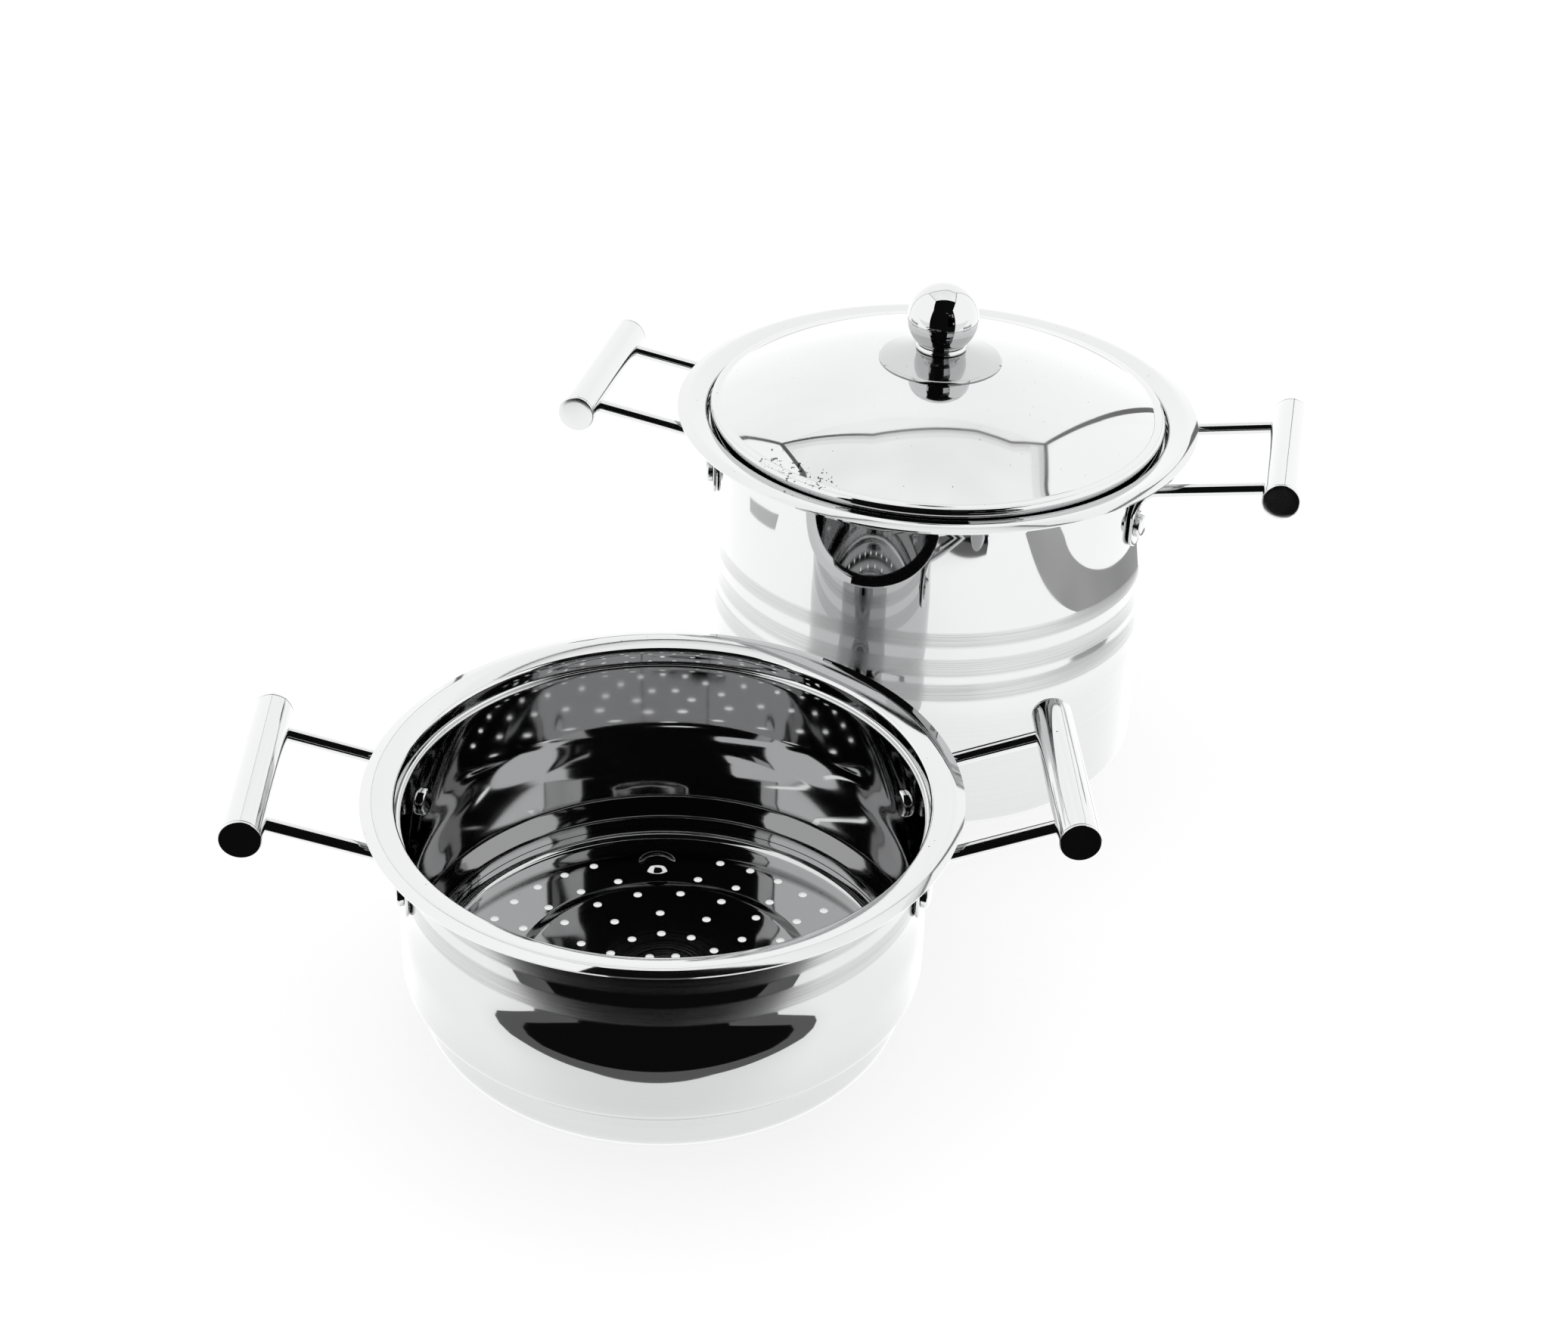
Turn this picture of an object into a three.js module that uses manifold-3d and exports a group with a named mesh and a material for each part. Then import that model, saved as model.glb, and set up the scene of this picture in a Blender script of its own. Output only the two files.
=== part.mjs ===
// Stainless steel couscous pot: a lidded pot and the perforated steamer that belongs on it.
// Millimetres, +Z up. The origin is the centre of the pot's base, on the table, and +X runs
// along the pot's two handles. The steamer stands on the same table beside the pot.
import * as THREE from 'three';
import { mergeVertices } from 'three/addons/utils/BufferGeometryUtils.js';
import Module from 'manifold-3d';

const wasm = await Module();
wasm.setup();

const DEGREE = Math.PI / 180;

// Driving dimensions: fits and facets
const CLEARANCE = 0.3; // gap kept between two pieces that meet
const VESSEL_FACETS = 30; // facets round a vessel or the lid
const TURNED_FACETS = 18; // facets round the knob's turned pieces
const BAR_FACETS = 12; // facets round a grip and its caps
const RIVET_FACETS = 8; // facets round a rivet, the screw and their holes
const HOLE_FACETS = 6; // facets round a steam hole
const BEND_TOLERANCE = 0.5; // a bend's facets stay this close to the true arc
const DRILL_REACH = 8; // a drill runs this far past a wall on both sides

// Driving dimensions: rim, the same on both vessels
const SHEET = 1.0; // vessel wall
const FLANGE_WIDTH = 16.2; // mouth to the outermost edge of the lip
const FLANGE_SLOPE = 14 * DEGREE; // the flange rises outwards
const RIM_ROLL = 3; // radius of the roll from flange to lip
const LIP_DEPTH = 5.5; // crest of the rim to the lip's lower edge
const MOUTH_ROUND = 2; // rounded edge from flange to riser
const LEDGE_DEPTH = 11.5; // crest of the rim down to the lid's ledge
const LEDGE_ROUND = 1.5; // bends on either side of the ledge

// Driving dimensions: pot
const POT_HEIGHT = 196.3; // table to the crest of the rim
const POT_NECK_RADIUS = 121.2; // outer
const POT_NECK_LENGTH = 106.3; // crest of the rim to the foot of the straight neck
const POT_LEDGE_WIDTH = 5.6; // neck to mouth
const POT_BELLY_SWELL = 2.7; // the belly stands out this far from the neck
const POT_BELLY_BLEND = 32; // height over which the neck turns into the belly
const POT_BASE_ROUND = 4; // outer bend at the base
const BELLY_ROUND = 60; // soft bends between neck and belly

// Driving dimensions: steamer
const STEAMER_HEIGHT = 124.2; // table to the crest of the rim
const STEAMER_LEDGE_WIDTH = 1.6; // neck to mouth
const STEAMER_NECK_MARGIN = 1.2; // the straight neck ends this far below the handles
const STEAMER_BELLY_SWELL = 2.3; // the belly stands out this far from the neck
const STEAMER_BELLY_BLEND = 17; // height over which the neck turns into the belly
const SKIRT_HEIGHT = 21; // table to the lower edge of the shoulder
const SHOULDER_HEIGHT = 8; // from the skirt out to the belly
const SHOULDER_ROUND = 3; // bends of the shoulder
const SKIRT_PLAY = 0.4; // the skirt drops into the pot's neck with this play
const SKIRT_ROUND = 10; // outer bend from skirt to foot
const FOOT_WIDTH = 5; // flat foot, turned in below the skirt
const STEAMER_GAP = 16.6; // between the two rims, as they stand
const STEAMER_BEARING = -104.9 * DEGREE; // where the steamer stands, seen from the pot
const STEAMER_TURN = 14.4 * DEGREE; // its handles are turned against the pot's

// Driving dimensions: the steamer's floor, a plate set into the skirt
const FLOOR_LIFT = 7.5; // table to the underside of the floor's outer band
const FLOOR_EDGE_HEIGHT = 6; // turned-up edge, above the outer band
const FLOOR_EDGE_ROUND = 5; // outer bend of that edge
const FLOOR_RISE = 2.5; // the floor's middle is pressed up
const FLOOR_STEP_INSET = 41; // edge of the floor to the pressed step
const FLOOR_STEP_WIDTH = 8;

// Driving dimensions: steam holes, and the dimple pressed into the floor
const HOLE_RADIUS = 2.2;
const HOLE_EDGE = 20.7; // edge of the floor to the outermost ring
const HOLE_RING_PITCH = 16.95; // from ring to ring
const HOLE_RINGS = [
  { count: 36, phase: 0 },
  { count: 24, phase: 0 },
  { count: 18, phase: 0.5 },
  { count: 12, phase: 0 },
  { count: 12, phase: 0 },
  { count: 6, phase: 0.5 },
];
const PATTERN_ANGLE = 92.5 * DEGREE; // every ring counts from the dimple's direction
const DIMPLE_INSET = 4; // outermost ring to the dimple's centre
const DIMPLE_RADIUS = 10.5;
const DIMPLE_RISE = 3;
const DIMPLE_STEPS = 3; // facets from its foot to its top
const DIMPLE_MARGIN = 8; // plain sheet left between the dimple and the next hole

// Driving dimensions: lid
const LID_SHEET = 0.8;
const LID_PLAY = 1.8; // lid's skirt to the mouth
const LID_SKIRT = 12.5; // skirt's lower edge to the flat shoulder
const LID_SHOULDER_WIDTH = 5.5;
const LID_SHOULDER_ROUND = 2.5;
const LID_DOME_RISE = 28.7; // shoulder to the top of the dome
const LID_DOME_STEPS = 5;

// Driving dimensions: knob
const DISC_RADIUS = 33.8;
const DISC_SHEET = 0.8;
const DISC_RISE = 5.4; // edge to the flat middle
const COLLAR_RADIUS = 14.1;
const COLLAR_HEIGHT = 2.6;
const COLLAR_ROUND = 1.1;
const NECK_RADIUS = 12.8;
const BALL_RADIUS = 19.4;
const BALL_STEPS = 8; // facets from the ball's top to its neck
const SCREW_RADIUS = 2.5;
const SCREW_HEAD_RADIUS = 4.6;
const SCREW_HEAD_HEIGHT = 3;
const SCREW_HEAD_ROUND = 1.4;
const SCREW_GRIP = 11; // length of screw inside the ball
const WASHER_RADIUS = 7.5;
const WASHER_THICKNESS = 1.2;

// Driving dimensions: handles, four alike
const FINGER_ROOM = 38; // rim to grip
const GRIP_LENGTH = 105.2; // tube alone, without its caps
const GRIP_RADIUS = 10;
const GRIP_WALL = 1.2;
const CAP_THICKNESS = 1.6;
const CAP_ROUND = 0.5;
const CAP_SPIGOT = 5; // length of the cap's plug inside the tube
const ROD_RADIUS = 3.5;
const ROD_SPREAD = 37.5; // each rod's distance from the handle's middle
const ROD_BEND = 10; // bend from the slope down to the wall
const ROD_SIDES = 8;
const ROD_END = 1; // the rod ends this far short of the grip's axis
const POT_ROD_SLOPE = 9.5 * DEGREE; // rods climb outwards
const STEAMER_ROD_SLOPE = 18 * DEGREE;
const POT_ROD_DROP = 4.8; // lip's lower edge to the rod below it
const STEAMER_ROD_DROP = 1.3;
const SPADE_WIDTH = 15;
const SPADE_THICKNESS = 2.6;
const SPADE_BLEND = 5; // length over which the rod is beaten flat, below the bend
const SPADE_LAND = 6.2; // flat left between the rivet's head and the tip
const RIVET_RADIUS = 3; // shank
const RIVET_HEAD_RADIUS = 6.3;
const RIVET_HEAD_HEIGHT = 3.6;
const RIVET_HEAD_ROUND = 2.2;
const RIVET_INNER_RADIUS = 7;
const RIVET_INNER_HEIGHT = 2.4;
const RIVET_INNER_ROUND = 1.7;

// Radii that follow from the neck of the pot
const MOUTH_RADIUS = POT_NECK_RADIUS + POT_LEDGE_WIDTH; // riser that the lid drops into
const RIM_RADIUS = MOUTH_RADIUS + FLANGE_WIDTH;
const LID_RADIUS = MOUTH_RADIUS - LID_PLAY;
const POT_BELLY_RADIUS = POT_NECK_RADIUS + POT_BELLY_SWELL;
const STEAMER_NECK_RADIUS = MOUTH_RADIUS - STEAMER_LEDGE_WIDTH;
const STEAMER_BELLY_RADIUS = STEAMER_NECK_RADIUS + STEAMER_BELLY_SWELL;
const SKIRT_RADIUS = POT_NECK_RADIUS - SHEET - SKIRT_PLAY;
const FLOOR_RADIUS = SKIRT_RADIUS - SHEET - CLEARANCE; // the floor's edge, inside the skirt
const GRIP_REACH = RIM_RADIUS + FINGER_ROOM + GRIP_RADIUS; // vessel's axis to the grip's

// Materials
const polishedSteel = () =>
  new THREE.MeshStandardMaterial({ color: 0xd6d8da, roughness: 0.12, metalness: 1 });
const satinSteel = () =>
  new THREE.MeshStandardMaterial({ color: 0xc4c6c8, roughness: 0.32, metalness: 1 });

// Solid tools

/** A closed geometry as a solid, with its faces turned outwards. */
function solid(geometry) {
  const bare = geometry.index ? geometry.toNonIndexed() : geometry.clone();
  for (const name of Object.keys(bare.attributes)) {
    if (name !== 'position') {
      bare.deleteAttribute(name);
    }
  }
  const merged = mergeVertices(bare, 1e-4);
  const corners = merged.index.array;
  const place = merged.attributes.position;
  const [a, b, c] = [new THREE.Vector3(), new THREE.Vector3(), new THREE.Vector3()];
  const kept = [];
  let volume = 0;
  for (let i = 0; i < corners.length; i += 3) {
    const [p, q, r] = corners.slice(i, i + 3);
    if (p === q || q === r || r === p) {
      continue;
    }
    kept.push([p, q, r]);
    a.fromBufferAttribute(place, p);
    b.fromBufferAttribute(place, q);
    c.fromBufferAttribute(place, r);
    volume += a.dot(b.cross(c));
  }
  const outward = volume > 0 ? kept : kept.map(([p, q, r]) => [p, r, q]);
  return new wasm.Manifold(
    new wasm.Mesh({
      numProp: 3,
      vertProperties: Float32Array.from(place.array),
      triVerts: Uint32Array.from(outward.flat()),
    }),
  );
}

/** A solid as a named mesh. */
function piece(name, body, material) {
  const { vertProperties, triVerts } = body.getMesh();
  const geometry = new THREE.BufferGeometry();
  geometry.setAttribute('position', new THREE.BufferAttribute(vertProperties, 3));
  geometry.setIndex(new THREE.BufferAttribute(Uint32Array.from(triVerts), 1));
  geometry.computeVertexNormals();
  const mesh = new THREE.Mesh(geometry, material);
  mesh.name = name;
  return mesh;
}

/** A profile turned round the Z axis; points are (radius, height). */
function turned(profile, facets) {
  const onAxis = profile[0].x === 0 && profile.at(-1).x === 0;
  const closed = onAxis ? profile : [...profile, profile[0].clone()];
  return solid(new THREE.LatheGeometry(closed, facets).rotateX(Math.PI / 2));
}

/** Corners [radius, height, bend radius] as a line with its corners rounded. */
function rounded(corners) {
  const points = corners.map(([r, z]) => new THREE.Vector2(r, z));
  const line = [points[0].clone()];
  for (let i = 1; i < points.length - 1; i += 1) {
    const into = points[i].clone().sub(points[i - 1]).normalize();
    const out = points[i + 1].clone().sub(points[i]).normalize();
    const turn = Math.atan2(into.cross(out), into.dot(out));
    const bend = corners[i][2] ?? 0;
    if (bend === 0 || Math.abs(turn) < 1e-6) {
      line.push(points[i].clone());
      continue;
    }
    const start = points[i].clone().addScaledVector(into, -bend * Math.tan(Math.abs(turn) / 2));
    const side = new THREE.Vector2(-into.y, into.x).multiplyScalar(Math.sign(turn) * bend);
    const centre = start.clone().add(side);
    const facet = 2 * Math.acos(Math.max(0, 1 - BEND_TOLERANCE / bend));
    const steps = Math.max(1, Math.ceil(Math.abs(turn) / facet));
    for (let k = 0; k <= steps; k += 1) {
      line.push(start.clone().rotateAround(centre, (turn * k) / steps));
    }
  }
  line.push(points.at(-1).clone());
  return line;
}

/** The outline of a sheet: a line and its copy at the sheet's thickness on the right-hand side. */
function sheet(line, thickness) {
  const other = line.map((point, i) => {
    const into = point.clone().sub(line[Math.max(i - 1, 0)]).normalize();
    const out = line[Math.min(i + 1, line.length - 1)].clone().sub(point).normalize();
    const first = i === 0 ? out : into;
    const last = i === line.length - 1 ? into : out;
    const across = first.clone().add(last).normalize();
    const reach = thickness / across.dot(first);
    return point.clone().add(new THREE.Vector2(across.y, -across.x).multiplyScalar(reach));
  });
  return [...line, ...other.reverse()];
}

/** A body skinned over rings of points, with flat ends. */
function lofted(rings) {
  const sides = rings[0].length;
  const points = rings.flat();
  const first = points.push(centreOf(rings[0])) - 1;
  const last = points.push(centreOf(rings.at(-1))) - 1;
  const index = [];
  for (let j = 0; j < sides; j += 1) {
    const next = (j + 1) % sides;
    for (let i = 0; i < rings.length - 1; i += 1) {
      const [low, high] = [i * sides, (i + 1) * sides];
      index.push(low + j, low + next, high + next, low + j, high + next, high + j);
    }
    const top = (rings.length - 1) * sides;
    index.push(first, next, j, last, top + j, top + next);
  }
  const geometry = new THREE.BufferGeometry().setFromPoints(points);
  geometry.setIndex(index);
  return solid(geometry);
}

function centreOf(ring) {
  const sum = ring.reduce((total, point) => total.add(point), new THREE.Vector3());
  return sum.divideScalar(ring.length);
}

/** A round bar along X, for drilling, from x0 to x1. */
function drill(radius, x0, x1, facets) {
  const bar = new THREE.CylinderGeometry(radius, radius, x1 - x0, facets);
  return bar.rotateZ(Math.PI / 2).translate((x0 + x1) / 2, 0, 0);
}

// Vessels

/** Height of the flange's top at a radius, for a rim whose crest is at the given height. */
function flangeTop(crest, radius) {
  const rollStart = RIM_RADIUS - RIM_ROLL * (1 + Math.sin(FLANGE_SLOPE));
  const rollDrop = RIM_ROLL * (1 - Math.cos(FLANGE_SLOPE));
  return crest - rollDrop + Math.tan(FLANGE_SLOPE) * (radius - rollStart);
}

/** Corners of the inside and top of a rim, from the ledge out to the lip. */
function rimCorners(crest, neckRadius) {
  const ledgeWidth = MOUTH_RADIUS - neckRadius + SHEET;
  const ledgeRound = Math.min(LEDGE_ROUND, 0.45 * ledgeWidth);
  return [
    [neckRadius - SHEET, crest - LEDGE_DEPTH, ledgeRound],
    [MOUTH_RADIUS, crest - LEDGE_DEPTH, ledgeRound],
    [MOUTH_RADIUS, flangeTop(crest, MOUTH_RADIUS), MOUTH_ROUND],
    [RIM_RADIUS, flangeTop(crest, RIM_RADIUS), RIM_ROLL],
    [RIM_RADIUS, crest - LIP_DEPTH, 0],
  ];
}

/** Bars that drill a vessel's wall for its four rivets. */
function rivetHoles(seat) {
  const radius = RIVET_RADIUS + CLEARANCE;
  const inside = seat.wallRadius - SHEET - DRILL_REACH;
  const outside = seat.wallRadius + DRILL_REACH;
  const holes = [];
  for (const side of [0, Math.PI]) {
    for (const way of [-1, 1]) {
      const hole = drill(radius, inside, outside, RIVET_FACETS);
      holes.push(solid(hole.translate(0, 0, seat.rivetHeight).rotateZ(side + way * seat.angle)));
    }
  }
  return holes;
}

/** Where a handle's rods and rivets meet a wall of this outer radius. */
function handleSeat(crest, rodDrop, rodSlope, wallRadius) {
  const spadeRadius = wallRadius + CLEARANCE + SPADE_THICKNESS / 2;
  const angle = Math.asin(ROD_SPREAD / spadeRadius);
  const lipHeight = crest - LIP_DEPTH - rodDrop - ROD_RADIUS / Math.cos(rodSlope);
  const bendX = spadeRadius * Math.cos(angle) + ROD_BEND * (1 - Math.sin(rodSlope));
  const bendTop = lipHeight - (RIM_RADIUS - bendX) * Math.tan(rodSlope);
  const bendFoot = bendTop - ROD_BEND * Math.cos(rodSlope);
  const rivetHeight = bendFoot - SPADE_BLEND - RIVET_HEAD_RADIUS - CLEARANCE;
  const spadeTip = rivetHeight - RIVET_HEAD_RADIUS - SPADE_LAND;
  const gripHeight = lipHeight + (GRIP_REACH - RIM_RADIUS) * Math.tan(rodSlope);
  return {
    wallRadius,
    rodSlope,
    spadeRadius,
    angle,
    bendX,
    bendTop,
    bendFoot,
    rivetHeight,
    spadeTip,
    gripHeight,
  };
}

const potSeat = handleSeat(POT_HEIGHT, POT_ROD_DROP, POT_ROD_SLOPE, POT_NECK_RADIUS);
const steamerSeat = handleSeat(
  STEAMER_HEIGHT,
  STEAMER_ROD_DROP,
  STEAMER_ROD_SLOPE,
  STEAMER_NECK_RADIUS,
);

function potBody() {
  const neckFoot = POT_HEIGHT - POT_NECK_LENGTH;
  const line = rounded([
    [0, SHEET, 0],
    [POT_BELLY_RADIUS - SHEET, SHEET, POT_BASE_ROUND - SHEET],
    [POT_BELLY_RADIUS - SHEET, neckFoot - POT_BELLY_BLEND, BELLY_ROUND],
    [POT_NECK_RADIUS - SHEET, neckFoot, BELLY_ROUND],
    ...rimCorners(POT_HEIGHT, POT_NECK_RADIUS),
  ]);
  const body = turned(sheet(line, SHEET), VESSEL_FACETS);
  return rivetHoles(potSeat).reduce((rest, hole) => rest.subtract(hole), body);
}

// The steamer's skirt drops into the pot's neck, and its shoulder then sits on the pot's ledge.
function steamerBody() {
  const neckFoot = steamerSeat.spadeTip - STEAMER_NECK_MARGIN;
  const line = rounded([
    [SKIRT_RADIUS - SKIRT_ROUND - FOOT_WIDTH, SHEET, 0],
    [SKIRT_RADIUS - SHEET, SHEET, SKIRT_ROUND - SHEET],
    [SKIRT_RADIUS - SHEET, SKIRT_HEIGHT, SHOULDER_ROUND],
    [STEAMER_BELLY_RADIUS - SHEET, SKIRT_HEIGHT + SHOULDER_HEIGHT, SHOULDER_ROUND],
    [STEAMER_BELLY_RADIUS - SHEET, neckFoot - STEAMER_BELLY_BLEND, BELLY_ROUND],
    [STEAMER_NECK_RADIUS - SHEET, neckFoot, BELLY_ROUND],
    ...rimCorners(STEAMER_HEIGHT, STEAMER_NECK_RADIUS),
  ]);
  const body = turned(sheet(line, SHEET), VESSEL_FACETS);
  return rivetHoles(steamerSeat).reduce((rest, hole) => rest.subtract(hole), body);
}

const floorTop = FLOOR_LIFT + SHEET; // of the floor's outer band

function steamerFloor() {
  const stepEdge = FLOOR_RADIUS - FLOOR_STEP_INSET;
  const line = rounded([
    [0, floorTop + FLOOR_RISE, 0],
    [stepEdge - FLOOR_STEP_WIDTH, floorTop + FLOOR_RISE, 0],
    [stepEdge, floorTop, 0],
    [FLOOR_RADIUS - SHEET, floorTop, FLOOR_EDGE_ROUND - SHEET],
    [FLOOR_RADIUS - SHEET, floorTop + FLOOR_EDGE_HEIGHT, 0],
  ]);
  const pressed = withDimple(turned(sheet(line, SHEET), VESSEL_FACETS));
  return steamHoles().reduce((rest, hole) => rest.subtract(hole), pressed);
}

/** A place on the steamer's floor, so far inside the outermost ring of holes. */
function floorPlace(inset, angle) {
  const radius = FLOOR_RADIUS - HOLE_EDGE - inset;
  const turn = PATTERN_ANGLE + angle;
  return new THREE.Vector3(radius * Math.cos(turn), radius * Math.sin(turn), floorTop);
}

/** Bars that drill the floor; the ones on the dimple and next to it are left out. */
function steamHoles() {
  const dimple = floorPlace(DIMPLE_INSET, 0);
  const keepOff = DIMPLE_RADIUS + DIMPLE_MARGIN + HOLE_RADIUS;
  const holes = [];
  HOLE_RINGS.forEach(({ count, phase }, ring) => {
    for (let k = 0; k < count; k += 1) {
      const place = floorPlace(ring * HOLE_RING_PITCH, ((k + phase) / count) * 2 * Math.PI);
      if (place.distanceTo(dimple) > keepOff) {
        const bar = drill(HOLE_RADIUS, -DRILL_REACH, DRILL_REACH, HOLE_FACETS);
        holes.push(solid(bar.rotateY(Math.PI / 2).translate(place.x, place.y, place.z)));
      }
    }
  });
  return holes;
}

/** A round dimple pressed up in the floor's outer band. */
function withDimple(plate) {
  const ball = (DIMPLE_RADIUS ** 2 + DIMPLE_RISE ** 2) / (2 * DIMPLE_RISE);
  const centre = floorTop + DIMPLE_RISE - ball;
  const place = floorPlace(DIMPLE_INSET, 0);
  const cap = (radius, foot) => {
    const tilt = Math.acos((foot - centre) / radius);
    const profile = [new THREE.Vector2(0, foot)];
    for (let k = 0; k <= DIMPLE_STEPS; k += 1) {
      const angle = tilt * (1 - k / DIMPLE_STEPS);
      const r = k === DIMPLE_STEPS ? 0 : radius * Math.sin(angle);
      profile.push(new THREE.Vector2(r, centre + radius * Math.cos(angle)));
    }
    return turned(profile, RIVET_FACETS).translate([place.x, place.y, 0]);
  };
  const outside = cap(ball, floorTop - SHEET / 2);
  const inside = cap(ball - SHEET, floorTop - 2 * SHEET);
  return plate.add(outside).subtract(inside);
}

// Lid and knob, built up from the pot's ledge

const domeRadius = LID_RADIUS - LID_SHOULDER_WIDTH;
const lidFoot = POT_HEIGHT - LEDGE_DEPTH + CLEARANCE;
const lidShoulder = lidFoot + LID_SKIRT;
const lidTop = lidShoulder + LID_DOME_RISE;
const domeBall = (domeRadius ** 2 + LID_DOME_RISE ** 2) / (2 * LID_DOME_RISE);
const screwHole = SCREW_RADIUS + CLEARANCE;

function domeHeight(radius) {
  return lidTop - domeBall + Math.sqrt(domeBall ** 2 - radius ** 2);
}

const discEdge = domeHeight(DISC_RADIUS) + CLEARANCE + DISC_SHEET;
const discTop = discEdge + DISC_RISE;
const collarFoot = discTop + CLEARANCE;
const ballFoot = collarFoot + COLLAR_HEIGHT + CLEARANCE;
const ballCentre = ballFoot + Math.sqrt(BALL_RADIUS ** 2 - NECK_RADIUS ** 2);
const washerTop = domeHeight(WASHER_RADIUS) - LID_SHEET - CLEARANCE;
const screwSeat = washerTop - WASHER_THICKNESS - CLEARANCE;

function lidShell() {
  const dome = [];
  for (let k = 0; k < LID_DOME_STEPS; k += 1) {
    const radius = screwHole + ((domeRadius - screwHole) * k) / LID_DOME_STEPS;
    dome.push([radius, domeHeight(radius), 0]);
  }
  const line = rounded([
    ...dome,
    [domeRadius, lidShoulder, 0],
    [LID_RADIUS, lidShoulder, LID_SHOULDER_ROUND],
    [LID_RADIUS, lidFoot, 0],
  ]);
  return turned(sheet(line, LID_SHEET), VESSEL_FACETS);
}

function knobDisc() {
  const line = rounded([
    [screwHole, discTop, 0],
    [COLLAR_RADIUS, discTop, 0],
    [DISC_RADIUS, discEdge, 0],
  ]);
  return turned(sheet(line, DISC_SHEET), TURNED_FACETS);
}

function knobCollar() {
  return turned(
    rounded([
      [screwHole, collarFoot, 0],
      [COLLAR_RADIUS, collarFoot, COLLAR_ROUND],
      [COLLAR_RADIUS, collarFoot + COLLAR_HEIGHT, COLLAR_ROUND],
      [screwHole, collarFoot + COLLAR_HEIGHT, 0],
    ]),
    TURNED_FACETS,
  );
}

function knobBall() {
  const boreTop = ballFoot + SCREW_GRIP + CLEARANCE;
  const neckAngle = Math.PI - Math.asin(NECK_RADIUS / BALL_RADIUS);
  const profile = [new THREE.Vector2(0, ballCentre + BALL_RADIUS)];
  for (let k = 1; k <= BALL_STEPS; k += 1) {
    const angle = (neckAngle * k) / BALL_STEPS;
    const radius = BALL_RADIUS * Math.sin(angle);
    profile.push(new THREE.Vector2(radius, ballCentre + BALL_RADIUS * Math.cos(angle)));
  }
  profile.push(new THREE.Vector2(screwHole, ballFoot));
  profile.push(new THREE.Vector2(screwHole, boreTop));
  profile.push(new THREE.Vector2(0, boreTop));
  return turned(profile, TURNED_FACETS);
}

function knobScrew() {
  const corners = [
    [0, screwSeat - SCREW_HEAD_HEIGHT],
    [SCREW_HEAD_RADIUS, screwSeat - SCREW_HEAD_HEIGHT, SCREW_HEAD_ROUND],
    [SCREW_HEAD_RADIUS, screwSeat],
    [SCREW_RADIUS, screwSeat],
    [SCREW_RADIUS, ballFoot + SCREW_GRIP],
    [0, ballFoot + SCREW_GRIP],
  ];
  return turned(rounded(corners), RIVET_FACETS);
}

function knobWasher() {
  return turned(
    rounded([
      [screwHole, washerTop - WASHER_THICKNESS],
      [WASHER_RADIUS, washerTop - WASHER_THICKNESS],
      [WASHER_RADIUS, washerTop],
      [screwHole, washerTop],
    ]),
    RIVET_FACETS,
  );
}

// Handles: X points away from the vessel's axis, Y along the grip

/** A point on a rod's axis, with the rod's half width, half thickness and turn to the wall. */
function rodStations(seat) {
  const slope = new THREE.Vector2(Math.cos(seat.rodSlope), Math.sin(seat.rodSlope));
  const wallX = (half) => (seat.wallRadius + CLEARANCE + half) * Math.cos(seat.angle);
  const flat = SPADE_THICKNESS / 2;
  const wide = SPADE_WIDTH / 2;
  const inGrip = GRIP_REACH - ROD_END;
  const stations = [
    { x: inGrip, z: seat.gripHeight - ROD_END * Math.tan(seat.rodSlope), lean: seat.rodSlope },
    { x: seat.bendX, z: seat.bendTop, lean: seat.rodSlope },
  ].map((at) => ({ ...at, half: ROD_RADIUS, depth: ROD_RADIUS, twist: 0 }));
  // The bend: flattened as it goes, while the flat turns to face the wall.
  const turn = Math.PI / 2 - seat.rodSlope;
  const bendSteps = 3;
  for (let k = 1; k <= bendSteps; k += 1) {
    const share = k / bendSteps;
    const lean = seat.rodSlope + turn * share;
    const depth = THREE.MathUtils.lerp(ROD_RADIUS, (ROD_RADIUS + flat) / 2, share);
    const shift = (wallX(depth) - wallX(flat)) * share;
    stations.push({
      x: seat.bendX - ROD_BEND * (Math.sin(lean) - slope.y) + shift,
      z: seat.bendTop - ROD_BEND * (slope.x - Math.cos(lean)),
      lean,
      half: THREE.MathUtils.lerp(ROD_RADIUS, (ROD_RADIUS + wide) / 2, share),
      depth,
      twist: seat.angle * share,
    });
  }
  // The spade: flat against the wall, with a round tip below the rivet.
  const spade = (z, half) => ({
    x: wallX(flat),
    z,
    lean: Math.PI / 2,
    half,
    depth: flat,
    twist: seat.angle,
  });
  stations.push(spade(seat.bendFoot - SPADE_BLEND, wide));
  for (const angle of [0, 42 * DEGREE, 72 * DEGREE]) {
    const rise = wide * (1 - Math.sin(angle));
    stations.push(spade(seat.spadeTip + rise, wide * Math.cos(angle)));
  }
  return stations;
}

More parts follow.
